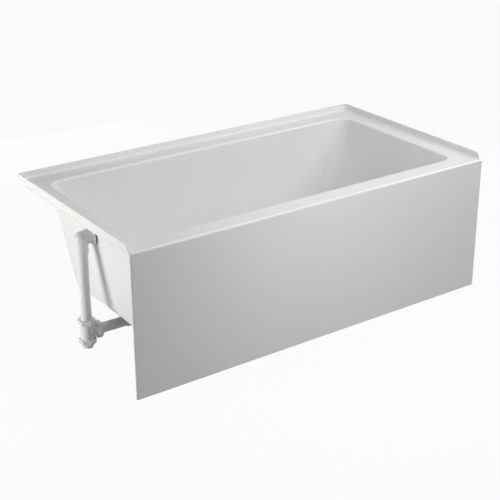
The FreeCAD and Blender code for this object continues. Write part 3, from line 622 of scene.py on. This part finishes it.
@dataclass(frozen=True)
class BathForm:
    """Sizes of the moulding, and the surfaces that its acrylic and its backing share."""

    half_length: float
    half_width: float
    deck: float
    sheet: float = 5.0 * MM
    flange: float = 24.0 * MM
    flange_foot: float = 3.0 * MM
    flange_corner: float = 5.0 * MM
    flange_edge: float = 1.2 * MM
    flange_run: float = 17.0 * MM
    flange_run_foot: float = 2.0 * MM
    flange_foot_share: float = 0.8
    flange_edge_share: float = 0.2
    turn_reach: float = 1.5
    square_bend: float = 0.5 * MM
    bend_grows: float = 40.0 * MM
    side_fades: float = 4.0 * MM
    rim_left: float = 73.0 * MM
    rim_right: float = 80.0 * MM
    rim_front: float = 85.0 * MM
    rim_back: float = 89.0 * MM
    rim_roll: float = 9.0 * MM
    least_roll: float = 1.0 * MM
    apron_roll: float = 9.0 * MM
    apron_drop: float = 7.0 * MM
    apron_lean: float = 4.0 * MM
    front_rise: float = 2.0 * MM
    apron_side: float = 4.5 * MM
    depth: float = 408.0 * MM
    slope_left: float = math.radians(9.0)
    slope_right: float = math.radians(21.0)
    slope_side: float = math.radians(5.0)
    corner_top: float = 48.0 * MM
    corner_floor: float = 56.0 * MM
    floor_roll: float = 50.0 * MM
    floor_fall: float = math.radians(0.4)
    outlet_from_end: float = 250.0 * MM
    recess_radius: float = 38.0 * MM
    recess_depth: float = 3.0 * MM
    outlet_radius: float = 26.0 * MM
    overflow_depth: float = 90.0 * MM
    overflow_radius: float = 27.0 * MM
    spacing: float = 22.0 * MM
    least_gap: float = 3.0 * MM
    floor_crowding: float = 0.8
    evening: float = 0.1
    settling_rounds: int = 4

    @property
    def edge_x(self) -> float:
        """Where the flat rim ends, towards the end flanges."""
        return self.half_length - self.sheet - self.flange_foot

    @property
    def edge_back(self) -> float:
        """Where the flat rim ends, towards the back flange."""
        return self.half_width - self.sheet - self.flange_foot

    @property
    def edge_front(self) -> float:
        """Where the rim meets the apron's roll."""
        return -self.half_width + self.apron_lean + self.apron_roll

    @property
    def outlet_x(self) -> float:
        """Centre of the outlet."""
        return -self.half_length + self.outlet_from_end

    @property
    def recess_level(self) -> float:
        """Height of the seat that the strainer lies on."""
        return self.deck - self.depth - self.recess_depth

    def sides(self, depth: np.ndarray | float, offset: float) -> tuple[np.ndarray, ...]:
        """Left, right, front and back of the basin's outline, and its corner radius.

        Each wall moves inwards by depth times the tangent of its slope, and outwards by the
        offset measured square to the wall. The corner radius grows evenly with depth.

        Args:
            depth: how far below the deck.
            offset: how far behind the bather's side.

        Returns:
            The five lengths, as numbers or as arrays of the depth's shape.
        """
        left = (-self.half_length + self.rim_left + depth * math.tan(self.slope_left)
                - offset / math.cos(self.slope_left))
        right = (self.half_length - self.rim_right - depth * math.tan(self.slope_right)
                 + offset / math.cos(self.slope_right))
        lean, out = math.tan(self.slope_side), offset / math.cos(self.slope_side)
        front = -self.half_width + self.rim_front + depth * lean - out
        back = self.half_width - self.rim_back - depth * lean + out
        growth = (self.corner_floor - self.corner_top) / self.depth
        return left, right, front, back, self.corner_top + growth * depth + offset

    def ring(self) -> Ring:
        """Stations round the rim, closer together at corners and flange ends.

        Rays from each corner centre of the basin's outline are spread evenly in angle, and a
        station lies where a ray meets the rim's edge. Its outline direction is the ray's.

        Returns:
            The stations, from the front left end round to the left side's front end.
        """
        left, right, front, back, radius = self.sides(0.0, 0.0)
        low = np.array([left + radius, front + radius])
        high = np.array([right - radius, back - radius])
        rays = np.linspace(0.0, QUARTER, STEPS.corner)[1:-1]
        line_x, line_y = self.line_stations(low, high, rays)
        arc = np.linspace(0.0, QUARTER, STEPS.flange_corner)
        small = self.flange_corner - self.flange_foot
        round_x = self.edge_x - small + small * np.cos(arc)
        round_y = self.edge_back - small + small * np.sin(arc)
        front_x = np.concatenate([[-self.edge_x], line_x["front"], [self.edge_x]])
        back_x = line_x["back"][::-1]
        side_up, side_down = line_y["right"], line_y["left"][::-1]
        edge = np.vstack([
            np.stack([front_x, np.full_like(front_x, self.edge_front)], axis=1),
            np.stack([np.full_like(side_up, self.edge_x), side_up], axis=1),
            np.stack([round_x, round_y], axis=1),
            np.stack([back_x, np.full_like(back_x, self.edge_back)], axis=1),
            np.stack([-round_x, round_y], axis=1)[::-1],
            np.stack([np.full_like(side_down, -self.edge_x), side_down], axis=1)])
        centre = np.clip(edge, low, high)
        out = edge - centre
        out /= np.linalg.norm(out, axis=1)[:, None]
        return Ring(edge, (centre - low) / (high - low), out)

    def line_stations(self, low: np.ndarray, high: np.ndarray,
                      rays: np.ndarray) -> tuple[dict[str, np.ndarray], dict[str, np.ndarray]]:
        """Stations on the rim's four straight edges.

        A ray from a corner centre meets an edge as far along it as the distance between the two
        divided by the tangent of the ray's angle to the edge. Between the corner centres the
        stations are evenly spaced, and the front ends of the flanges have their own.

        Args:
            low: lowest corner of the rectangle of the corner centres.
            high: highest corner of it.
            rays: angles of the rays at each corner.

        Returns:
            Places along X on the front and back edges, and along Y on the left and right ones.
        """
        along_x, along_y = {}, {}
        for name, reach in (("front", low[1] - self.edge_front), ("back", self.edge_back - high[1])):
            inner = np.arange(low[0], high[0], self.spacing)
            spread = reach / np.tan(rays)
            found = np.concatenate([low[0] - spread, inner, [high[0]], high[0] + spread])
            along_x[name] = np.unique(found[np.abs(found) < self.edge_x - self.least_gap])
        foot, top = self.flange_slope()
        rise = np.linspace(0.0, 1.0, STEPS.flange_slope)
        share = np.linspace(0.0, 1.0, STEPS.flange_turn)[1:]
        turn = self.edge_front + share * (foot - self.edge_front) * self.turn_reach
        for name, reach in (("left", low[0] + self.edge_x), ("right", self.edge_x - high[0])):
            inner = np.arange(low[1], high[1], self.spacing)
            spread = reach / np.tan(rays)
            slope = turn[-1] + rise * (top - turn[-1])
            found = np.concatenate([low[1] - spread, inner, [high[1]], high[1] + spread])
            clear = (found > top + self.least_gap) & (found < self.edge_back - self.least_gap)
            along_y[name] = np.unique(np.concatenate([turn, slope, found[clear]]))
        return along_x, along_y

    def flange_slope(self) -> tuple[float, float]:
        """Finds the front ends of the end flanges.

        Returns:
            Where they leave the rim and where they reach full height, along Y.
        """
        half_turn = math.atan2(self.flange, self.flange_run) / 2.0
        foot = self.edge_front + self.flange_run_foot * math.tan(half_turn)
        return foot, foot + self.flange_run

    def flange_height(self, y: np.ndarray) -> np.ndarray:
        """Height of the end flanges: a small arc at the foot, a slope, then level.

        Args:
            y: places along Y.

        Returns:
            The height at each, over the rim.
        """
        foot, _top = self.flange_slope()
        tilt = math.atan2(self.flange, self.flange_run)
        past = y - self.edge_front
        radius = self.flange_run_foot
        arc_end = radius * math.sin(tilt)
        arc = radius - np.sqrt(radius ** 2 - np.clip(past, 0.0, arc_end) ** 2)
        slope = np.clip((y - foot) * math.tan(tilt), 0.0, self.flange - self.rim_rise(y))
        return np.where(past < arc_end, arc, slope)

    def rim_rise(self, y: np.ndarray) -> np.ndarray:
        """How far the rim's edge stands above the deck, falling evenly from apron to back."""
        across = (self.edge_back - y) / (self.edge_back - self.edge_front)
        return self.front_rise * across

    def floor_height(self, x: np.ndarray, offset: float) -> np.ndarray:
        """Height of the floor, which falls evenly to the outlet."""
        rise = (x - self.outlet_x) * math.tan(self.floor_fall)
        return self.deck - self.depth + rise - offset / math.cos(self.floor_fall)

    def outline(self, ring: Ring, depth: np.ndarray | float, offset: float) -> np.ndarray:
        """Points of the basin's outline: corner rectangle plus radius times direction.

        Args:
            ring: the stations.
            depth: how far below the deck, one for all stations or one for each.
            offset: how far behind the bather's side.

        Returns:
            Stations by 2.
        """
        left, right, front, back, radius = self.sides(depth, offset)
        x = left + radius + ring.share[:, 0] * (right - left - 2.0 * radius)
        y = front + radius + ring.share[:, 1] * (back - front - 2.0 * radius)
        return np.stack([x, y], axis=-1) + np.asarray(radius)[..., None] * ring.out

    def well(self, ring: Ring, offset: float, hole: float) -> np.ndarray:
        """The rim, wall and floor as one grid, for a surface moved out by offset.

        The flat rim is ruled from the ring's edge to the roll. The roll is an arc from level to
        the wall's slope, the wall a straight line, the floor corner an arc from the wall's slope
        to level, and the floor is ruled from there to a circle round the outlet. On the circle
        each station's angle is that of the floor's edge seen from the outlet, drawn a share of
        the way to even spacing, so that none fall together.

        Args:
            ring: the stations.
            offset: how far the surface lies behind the bather's side.
            hole: radius of the circle round the outlet.

        Returns:
            Rows by stations by 3, from the rim's edge to the circle.
        """
        per_metre = self.outline(ring, 1.0, offset) - self.outline(ring, 0.0, offset)
        slope = np.arctan(-np.sum(per_metre * ring.out, axis=1))
        level = self.deck - offset
        roll = max(self.rim_roll - offset, self.least_roll)
        lip_depth = offset + roll * (1.0 - np.sin(slope))
        lip = self.outline(ring, lip_depth, offset)
        turn = np.linspace(0.0, 1.0, STEPS.roll)[:, None] * (QUARTER - slope)
        side = roll * (np.cos(slope) - np.sin(turn))
        rolled = lip + side[..., None] * ring.out
        rim = [self.lifted(ring.edge + t * (rolled[0] - ring.edge),
                           level + (1.0 - t) * self.rim_rise(ring.edge[:, 1]))
               for t in np.linspace(0.0, 1.0, STEPS.rim)[:-1]]
        edge = self.lifted(rolled, level - roll * (1.0 - np.cos(turn)))

        big = self.floor_roll + offset
        foot_depth = np.full(len(slope), self.depth - big / 2.0)
        for _again in range(self.settling_rounds):
            inner = self.outline(ring, foot_depth, offset) - (big * np.cos(slope))[:, None] * ring.out
            ground = self.floor_height(inner[:, 0], offset)
            foot_depth = self.deck - ground - big * (1.0 - np.sin(slope))
        share = np.linspace(0.0, 1.0, STEPS.wall)[1:, None]
        depths = lip_depth + share * (foot_depth - lip_depth)
        wall = np.stack([self.lifted(self.outline(ring, row, offset), self.deck - row)
                         for row in depths])
        bend = slope + np.linspace(0.0, 1.0, STEPS.floor_bend)[1:, None] * (QUARTER - slope)
        corner = self.lifted(inner + (big * np.cos(bend))[..., None] * ring.out,
                             ground + big * (1.0 - np.sin(bend)))
        centre = np.array([self.outlet_x, 0.0])
        seen = np.unwrap(np.arctan2(inner[:, 1], inner[:, 0] - self.outlet_x))
        even = seen[0] + np.arange(len(seen)) * (2.0 * math.pi / len(seen))
        angle = seen + self.evening * (even - seen)
        circle = centre + hole * np.stack([np.cos(angle), np.sin(angle)], axis=1)
        steps = np.linspace(0.0, 1.0, STEPS.floor)[1:, None, None] ** self.floor_crowding
        flat = inner + steps * (circle - inner)
        floor = self.lifted(flat, self.floor_height(flat[..., 0], offset))
        return np.concatenate([np.stack(rim), edge, wall, corner, floor])

    @staticmethod
    def lifted(points: np.ndarray, height: np.ndarray | float) -> np.ndarray:
        """Points of a plan, in one row or several, with a height added to each."""
        heights = np.broadcast_to(height, points.shape[:-1])
        return np.concatenate([points, heights[..., None]], axis=-1)

    def circle_row(self, ring: Ring, offset: float, radius: float, height: float) -> np.ndarray:
        """A level circle round the outlet, station for station with the floor's inner edge.

        Args:
            ring: the stations.
            offset: how far behind the bather's side the floor lies.
            radius: the circle's radius.
            height: its height.

        Returns:
            One row by stations by 3.
        """
        row = self.well(ring, offset, radius)[-1]
        row[:, 2] = height
        return row[None]

    def apron_line(self, bottom: float) -> tuple[np.ndarray, np.ndarray]:
        """Face line of the apron and its roll, from the bottom up.

        The roll is a quarter of an ellipse, wider than it is high. Its points are the centre
        plus each half width times the cosine or sine of a turn, and its outward direction has
        each of these divided by the half width instead.

        Args:
            bottom: height of the lower end.

        Returns:
            Y and Z of the face, and the face's outward direction, each by 2.
        """
        top = self.deck + self.front_rise
        straight = np.linspace(bottom, top - self.apron_drop, STEPS.apron)
        lean = self.apron_lean * straight / straight[-1]
        up = np.stack([lean - self.half_width, straight], axis=1)
        turn = np.linspace(0.0, QUARTER, STEPS.crown)[1:, None]
        wave = np.hstack([-np.cos(turn), np.sin(turn)])
        half = np.array([self.apron_roll, self.apron_drop])
        rolled = np.array([self.edge_front, top - self.apron_drop]) + half * wave
        facing = wave / half
        facing /= np.linalg.norm(facing, axis=1)[:, None]
        level = np.tile([-1.0, 0.0], (len(straight), 1))
        return np.vstack([up, rolled]), np.vstack([level, facing])

    def apron(self, ring: Ring, near: float, far: float, bottom: float) -> np.ndarray:
        """Both faces of the apron between the end bands, joined round its bottom.

        Each face is the apron's line moved back along its own direction by near or far, and
        drawn out along X through the front stations.

        Args:
            ring: the stations.
            near: depth of the outer face behind the apron's face.
            far: depth of the inner face.
            bottom: height of the lower edge.

        Returns:
            Rows by stations by 3.
        """
        across = ring.edge[ring.edge[:, 1] <= self.edge_front + SAME_POINT, 0]
        line, facing = self.apron_line(bottom)
        rows = np.vstack([(line - near * facing)[::-1], line - far * facing])
        x = np.broadcast_to(across[None, :, None], (len(rows), len(across), 1))
        yz = np.broadcast_to(rows[:, None, :], (len(rows), len(across), 2))
        return np.concatenate([x, yz], axis=-1)

    def path(self, ring: Ring, bottom: float) -> EdgePath:
        """The line of the outer edge: up the right end, round the back, and down the left end.

        At the apron's ends it follows the apron's line and faces out along X. Round the rim it
        faces square to the edge, and at a flange corner straight away from the corner's centre.
        Behind the front ends of the flanges the bend grows smoothly from nearly square to full.

        Args:
            ring: the stations.
            bottom: height of both ends.

        Returns:
            The path.
        """
        line, facing = self.apron_line(bottom)
        line, facing = line[:-1], facing[:-1]
        zeros, ones = np.zeros(len(line)), np.ones(len(line))
        right_base = np.stack([self.edge_x * ones, line[:, 0], line[:, 1]], axis=1)
        right_out = np.stack([ones, zeros, zeros], axis=1)
        upright = np.stack([zeros, facing[:, 0], facing[:, 1]], axis=1)
        mirror = np.array([-1.0, 1.0, 1.0])
        first = int(np.argmax(ring.edge[:, 0] > self.edge_x - SAME_POINT))
        around = np.vstack([ring.edge[first:], ring.edge[:1]])
        centre = np.array([self.edge_x, self.edge_back]) - (self.flange_corner - self.flange_foot)
        nearest = np.clip(around, [-centre[0], -1.0], centre)
        out = around - nearest
        on_side = np.abs(around[:, 1]) < centre[1] - SAME_POINT
        out[on_side] = np.stack([np.sign(around[on_side, 0]), np.zeros(on_side.sum())], axis=1)
        out /= np.linalg.norm(out, axis=1)[:, None]
        level = np.tile([0.0, 0.0, 1.0], (len(around), 1))
        _foot, top = self.flange_slope()
        side_bend = self.sheet + self.flange_foot
        square = self.square_bend
        bend = square + (side_bend - square) * smooth_step((around[:, 1] - top) / self.bend_grows)
        return EdgePath(
            base=np.vstack([right_base, self.lifted(around, self.deck + self.rim_rise(around[:, 1])),
                            (right_base * mirror)[::-1]]),
            outward=np.vstack([right_out, self.lifted(out, 0.0), (right_out * mirror)[::-1]]),
            normal=np.vstack([upright, level, upright[::-1]]),
            height=np.concatenate([zeros, self.flange_height(around[:, 1]), zeros]),
            bend=np.concatenate([zeros + square, bend, zeros + square]))

    def edge_band(self, path: EdgePath) -> np.ndarray:
        """The closed edge of the sheet with its tiling flange, carried along the path.

        The section runs from the face over the flange's inner foot, up its inner side, over its
        top and down its outer side to the bend and the hidden face. Where the flange's height
        is nothing, only the sheet's rounded edge is left.

        Args:
            path: the stations.

        Returns:
            Stations by section points by 3.
        """
        width, inner = self.sheet + self.flange_foot, self.flange_foot
        height = path.height
        foot = np.minimum(self.flange_foot, self.flange_foot_share * height)
        lip = np.minimum(self.flange_edge, self.flange_edge_share * height)
        fade = 1.0 - smooth_step(height / self.side_fades)
        crown = self.flange_edge + (self.apron_side - self.flange_edge) * fade
        bend = np.minimum(path.bend, height + self.sheet - crown)
        nothing = np.zeros_like(height)[:, None]

        def arc(steps: int) -> tuple[np.ndarray, np.ndarray]:
            """Sines and cosines over a quarter turn."""
            turn = np.linspace(0.0, QUARTER, steps + 1)[None]
            return np.sin(turn), np.cos(turn)

        def bow(radius: np.ndarray, wave: np.ndarray) -> np.ndarray:
            """A radius for each station times a wave along the arc."""
            return radius[:, None] * wave

        sin_w, cos_w = arc(STEPS.wide_arc)
        sin_n, cos_n = arc(STEPS.narrow_arc)
        across = np.hstack([
            nothing, (inner - foot)[:, None] + bow(foot, sin_w),
            (inner + lip)[:, None] - bow(lip, cos_n), (width - crown)[:, None] + bow(crown, sin_w),
            (width - bend)[:, None] + bow(bend, cos_w), nothing])
        up = np.hstack([
            nothing, bow(foot, 1.0 - cos_w), (height - lip)[:, None] + bow(lip, sin_n),
            (height - crown)[:, None] + bow(crown, cos_w),
            (bend - self.sheet)[:, None] - bow(bend, sin_w), nothing - self.sheet])
        return (path.base[:, None] + across[..., None] * path.outward[:, None]
                + up[..., None] * path.normal[:, None])

    def overflow(self) -> tuple[np.ndarray, np.ndarray]:
        """Finds the overflow.

        Returns:
            Its centre on the wall's inside, and the wall's direction into the basin.
        """
        left = self.sides(self.overflow_depth, 0.0)[0]
        inwards = np.array([math.cos(self.slope_left), 0.0, math.sin(self.slope_left)])
        return np.array([left, 0.0, self.deck - self.overflow_depth]), inwards


@dataclass
class Moulding:
    """The acrylic sheet: basin, rim, tiling flange and apron in one."""

    form: BathForm
    finish: Acrylic = field(default_factory=Acrylic)

    def build(self) -> bpy.types.Object:
        """Makes the moulding and puts it in place of its solid.

        Returns:
            The moulding.
        """
        form = self.form
        ring = form.ring()
        face = form.well(ring, 0.0, form.recess_radius)
        back = form.well(ring, form.sheet, form.recess_radius + form.sheet)
        seat, under = form.recess_level, form.recess_level - form.sheet
        rows = [face, form.circle_row(ring, 0.0, form.recess_radius, seat),
                form.circle_row(ring, 0.0, form.outlet_radius, seat),
                form.circle_row(ring, 0.0, form.outlet_radius, under),
                form.circle_row(ring, form.sheet, form.recess_radius + form.sheet, under),
                back[::-1]]
        builder = Builder()
        builder.grid(np.concatenate(rows), closed_columns=True)
        builder.grid(form.apron(ring, 0.0, form.sheet, 0.0))
        band = form.edge_band(form.path(ring, 0.0))
        builder.grid(band)
        builder.cap(band[0])
        builder.cap(band[-1])
        centre, axis = form.overflow()
        mesh = cut_bore(builder.mesh("bath moulding"), centre, axis, form.overflow_radius)
        shade(mesh)
        return piece("bath_moulding", mesh, self.finish.material(), "bath", "bath_shell")


@dataclass
class Backing:
    """The glass-fibre layer rolled onto the hidden side of the moulding."""

    form: BathForm
    near: float = 5.2 * MM
    far: float = 8.2 * MM
    bottom: float = 3.0 * MM
    apron_bend: float = 14.0 * MM
    trim_radius: float = 46.0 * MM
    crease: float = 50.0
    finish: GlassFibre = field(default_factory=GlassFibre)

    def build(self) -> bpy.types.Object:
        """Makes the layer and puts it in place of its solid.

        Returns:
            The layer.
        """
        form = replace(self.form, apron_roll=self.apron_bend, apron_drop=self.apron_bend)
        ring = form.ring()
        near = form.well(ring, self.near, self.trim_radius)
        far = form.well(ring, self.far, self.trim_radius)
        builder = Builder()
        builder.grid(np.concatenate([near, far[::-1]]), closed_columns=True)
        builder.grid(form.apron(ring, self.near, self.far, self.bottom))
        path = form.path(ring, self.bottom)
        depth = np.array([self.near, self.far])[None, :, None]
        builder.grid(path.base[:, None] - depth * path.normal[:, None])
        centre, axis = form.overflow()
        mesh = cut_bore(builder.mesh("backing"), centre, axis, form.overflow_radius)
        shade(mesh, self.crease)
        return piece("glass_fibre_backing", mesh, self.finish.material(), "bath",
                     "laminate_backing")


# ---- pieces that keep their solid's shape ---------------------------------------------------
def finish_by_slot() -> dict[str, bpy.types.Material]:
    """Makes the material of each of the record's slots that needs only one.

    Returns:
        The materials by slot.
    """
    return {"particle_board": Chipboard().material(), "zinc_steel": ZINC.material(),
            "foot_plastic": FOOT_PLASTIC.material(), "chrome": CHROME.material(),
            "brass_post": BRASS.material(), "putty": PUTTY.material(),
            "seal_rubber": RUBBER.material(), "guide_plastic": ACETAL.material(),
            "waste_pvc": PVC.material(), "washer_nylon": NYLON.material()}


def grain_of(node: str) -> Grain:
    """Finds which way the grain runs in a timber piece, which is its longest side.

    Args:
        node: the solid's name.

    Returns:
        The grain's direction.
    """
    low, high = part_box(node)
    size = [high[i] - low[i] for i in range(3)]
    return list(Grain)[size.index(max(size))]


@dataclass
class Joinery:
    """Boards and channels whose sawn or pressed edges are slightly rounded.

    The rim's battens are sealed with white resin, as they are laid in with the laminate.
    """

    finishes: dict[str, bpy.types.Material]
    timber_edge: float = 1.5 * MM
    board_edge: float = 0.8 * MM
    steel_edge: float = 0.5 * MM
    sealed_early: tuple[float, float, float] = (0.86, 0.85, 0.81)
    sealed_late: tuple[float, float, float] = (0.80, 0.78, 0.72)
    flat_angle: float = math.radians(0.5)
    sharp_angle: float = math.radians(40.0)
    crease: float = 50.0

    def build(self) -> None:
        """Makes every board and channel from its solid."""
        bare = {grain: Softwood(grain).material() for grain in Grain}
        sealed = {
            grain: Softwood(grain, self.sealed_early, self.sealed_late, "sealed softwood").material()
            for grain in (Grain.ALONG_X, Grain.ALONG_Y)}
        for part in frame["record"]["subparts"]:
            node, slot = part["node"], part["material_slot"]
            if slot == "timber":
                wood = sealed if node.startswith("rim_batten") else bare
                self.soften(node, wood[grain_of(node)], self.timber_edge)
        self.soften("base_board", self.finishes["particle_board"], self.board_edge)
        for node in ("bearer_left", "bearer_right", "middle_bracket"):
            self.soften(node, self.finishes["zinc_steel"], self.steel_edge)

    def soften(self, node: str, finish: bpy.types.Material, edge: float) -> None:
        """Puts a copy with rounded edges in place of a solid.

        Args:
            node: the solid's name.
            finish: its material.
            edge: how far the rounding reaches in from each edge.
        """
        work = bmesh.new()
        work.from_mesh(frame["nodes"][node].data)
        bmesh.ops.remove_doubles(work, verts=work.verts, dist=SAME_POINT)
        bmesh.ops.dissolve_limit(work, angle_limit=self.flat_angle, verts=work.verts,
                                 edges=work.edges)
        sharp = [e for e in work.edges
                 if len(e.link_faces) == 2 and e.calc_face_angle() > self.sharp_angle]
        bmesh.ops.bevel(work, geom=sharp, offset=edge, segments=2, profile=0.5, affect="EDGES",
                        clamp_overlap=True)
        mesh = bpy.data.meshes.new(node + " softened")
        work.to_mesh(mesh)
        work.free()
        shade(mesh, self.crease)
        piece(node + "_eased", mesh, finish, body_of(node), node)


@dataclass
class ThreadedRod:
    """A levelling leg's rod, its thread a ridge wound round the core at the record's pitch."""

    foot: str
    finish: bpy.types.Material
    crest: float = 6.0 * MM
    root: float = 5.0 * MM
    pitch: float = 1.75 * MM
    around: int = 28
    per_turn: int = 4
    chamfer: float = 1.0 * MM
    crease: float = 80.0

    def build(self) -> bpy.types.Object:
        """Winds the thread and puts it in place of the rod's solid.

        At turn angle a and height z the radius is a triangle wave between root and crest of
        z divided by the pitch less a divided by a full turn, less a chamfer near both ends.

        Returns:
            The rod.
        """
        node = "leg_rod_" + self.foot
        low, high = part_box(node)
        centre = [(low[i] + high[i]) / 2.0 for i in range(2)]
        rows = int((high[2] - low[2]) / self.pitch * self.per_turn) + 1
        z = np.linspace(low[2], high[2], rows)[:, None]
        angle = np.linspace(0.0, 2.0 * math.pi, self.around, endpoint=False)[None]
        phase = z / self.pitch - angle / (2.0 * math.pi)
        wave = np.abs(2.0 * (phase - np.floor(phase)) - 1.0)
        end = np.minimum(z - low[2], high[2] - z)
        radius = self.root + (self.crest - self.root) * wave
        radius = np.minimum(radius, self.root - self.chamfer + end + 0.0 * angle)
        points = np.stack([centre[0] + radius * np.cos(angle), centre[1] + radius * np.sin(angle),
                           z + 0.0 * angle], axis=-1)
        builder = Builder()
        builder.grid(points, closed_columns=True)
        builder.cap(points[0])
        builder.cap(points[-1])
        mesh = builder.mesh("thread " + self.foot)
        shade(mesh, self.crease)
        return piece(node + "_thread", mesh, self.finish, body_of(node), node)


def dress_solids(finishes: dict[str, bpy.types.Material]) -> None:
    """Gives every solid that is still shown its finish.

    Args:
        finishes: the materials by slot.
    """
    for part in frame["record"]["subparts"]:
        node, slot = part["node"], part["material_slot"]
        shown = frame["nodes"][node]
        if shown.hide_render:
            continue
        for place in shown.material_slots:
            place.material = finishes[slot]
        if not shown.material_slots:
            shown.data.materials.append(finishes[slot])
        LOG.info("%s: solid kept on %s", node, body_of(node))


# ---- studio ---------------------------------------------------------------------------------
@dataclass(frozen=True)
class Lamp:
    """A soft square lamp that faces a point of the bath."""

    name: str
    place: tuple[float, float, float]
    target: tuple[float, float, float]
    size: float
    power: float

    def build(self) -> bpy.types.Object:
        """Puts the lamp into the scene, tilted and turned to face its target.

        Returns:
            The lamp's object.
        """
        light = bpy.data.lights.new(self.name, "AREA")
        light.size = self.size
        light.energy = self.power
        made = added(self.name, light)
        made.location = self.place
        away = [a - b for a, b in zip(self.place, self.target)]
        flat = math.hypot(away[0], away[1])
        made.rotation_euler = (math.atan2(flat, away[2]), 0.0, math.atan2(away[0], -away[1]))
        return made


@dataclass
class Studio:
    """White sweep, soft lamps and the camera at the photograph's angle."""

    camera_place: tuple[float, float, float] = (-2.292, -3.2124, 1.937)
    camera_azimuth: float = math.radians(35.18)
    camera_drop: float = math.radians(23.83)
    lens: float = 81.76
    view_reach: float = 60.0
    floor_half: float = 9.0
    floor_shades: tuple[float, float] = (0.42, 0.44)
    floor_cloud: float = 1.5
    floor_rough: float = 0.9
    world_level: float = 0.03
    shown_white: float = 0.95
    lamps: tuple[Lamp, ...] = (
        Lamp("key lamp", (1.72, -0.77, 1.79), (0.0, -0.1, 0.4), 0.8, 13.2),
        Lamp("front lamp", (0.60, -1.89, 1.50), (0.0, -0.1, 0.4), 0.7, 10.9),
        Lamp("upper lamp", (-0.20, -0.90, 2.00), (-0.2, 0.2, 0.4), 0.8, 9.0),
        Lamp("top lamp", (0.45, 0.50, 2.05), (0.1, 0.3, 0.5), 1.0, 7.4),
        Lamp("apron lamp", (-0.10, -1.10, 0.60), (-0.1, -0.4, 0.35), 0.5, 1.0),
        Lamp("left fill", (-2.10, 0.20, 0.30), (-0.7, 0.0, 0.28), 0.9, 22.0),
        Lamp("back fill", (0.20, 2.30, 0.30), (0.0, 0.4, 0.28), 1.2, 14.0),
        Lamp("right fill", (2.30, 0.10, 0.30), (0.7, 0.0, 0.28), 0.9, 12.0),
    )

    def build(self) -> None:
        """Makes camera, floor, lamps and world."""
        data = bpy.data.cameras.new("camera")
        data.lens = self.lens
        data.clip_end = self.view_reach
        camera = added("camera", data)
        camera.location = self.camera_place
        camera.rotation_euler = (QUARTER - self.camera_drop, 0.0, -self.camera_azimuth)
        bpy.context.scene.camera = camera
        self.build_floor()
        self.build_world()
        for lamp in self.lamps:
            lamp.build()
        bpy.context.scene.view_settings.view_transform = "Standard"

    def build_floor(self) -> bpy.types.Object:
        """Makes a pale floor that shows as white, with the bath's soft shadow on it.

        Returns:
            The floor.
        """
        half = self.floor_half
        mesh = bpy.data.meshes.new("floor")
        mesh.from_pydata([(-half, -half, 0), (half, -half, 0), (half, half, 0), (-half, half, 0)],
                         [], [(0, 1, 2, 3)])
        floor = added("floor", mesh)
        graph = Graph("studio floor")
        cloud = graph.noise(self.floor_cloud, detail=2.0)
        low, high = ((shade_of,) * 3 for shade_of in self.floor_shades)
        tint = graph.ramp(cloud, CLOUD_STOPS, low, high)
        graph.done(Base_Color=tint, Roughness=self.floor_rough)
        seen = self.seen_directly(graph.tree)
        glow = graph.add("Emission", {"Color": grey(1.0), "Strength": 1.0}).outputs[0]
        part = graph.add("Math", {0: seen, 1: self.shown_white}, operation="MULTIPLY").outputs[0]
        mixed = graph.add("MixShader", {0: part, 1: graph.shader.outputs[0], 2: glow}).outputs[0]
        graph.feed(graph.tree.nodes["Material Output"], "Surface", mixed)
        mesh.materials.append(graph.material)
        return floor

    @staticmethod
    def seen_directly(tree: bpy.types.NodeTree) -> bpy.types.NodeSocket:
        """Tells rays from the camera, or seen in or through a glossy or clear surface.

        Args:
            tree: the nodes of the material or the world.

        Returns:
            1 for such rays, 0 for all others.
        """
        path = tree.nodes.new("ShaderNodeLightPath")
        total = path.outputs["Is Camera Ray"]
        for name in ("Is Glossy Ray", "Is Transmission Ray"):
            either = tree.nodes.new("ShaderNodeMath")
            either.operation = "MAXIMUM"
            tree.links.new(total, either.inputs[0])
            tree.links.new(path.outputs[name], either.inputs[1])
            total = either.outputs[0]
        return total

    def build_world(self) -> None:
        """White all round where it is seen, and a plain even light elsewhere."""
        world = bpy.data.worlds.new("studio")
        world.use_nodes = True
        bpy.context.scene.world = world
        tree = world.node_tree
        background = tree.nodes["Background"]
        background.inputs["Color"].default_value = grey(1.0)
        level = tree.nodes.new("ShaderNodeMapRange")
        tree.links.new(self.seen_directly(tree), level.inputs["Value"])
        level.inputs["To Min"].default_value = self.world_level
        level.inputs["To Max"].default_value = self.shown_white
        tree.links.new(level.outputs[0], background.inputs["Strength"])


def bath_form() -> BathForm:
    """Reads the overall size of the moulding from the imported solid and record.

    Returns:
        The moulding's form.
    """
    _low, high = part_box("bath_shell")
    mounts = {mount["name"]: mount for mount in frame["record"]["mounts"]}
    return BathForm(high[0], high[1], mounts["front_deck"]["pos_m"][2])


def main() -> None:
    """Builds the studio and the bath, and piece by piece."""
    logging.basicConfig(level=logging.INFO, format="%(name)s: %(message)s")
    Studio().build()
    form = bath_form()
    finishes = finish_by_slot()
    Moulding(form).build()
    Backing(form).build()
    Joinery(finishes).build()
    for foot in ("front_left", "back_left", "front_right", "back_right", "middle"):
        ThreadedRod(foot, finishes["zinc_steel"]).build()
    dress_solids(finishes)


if __name__ == "__main__":
    main()
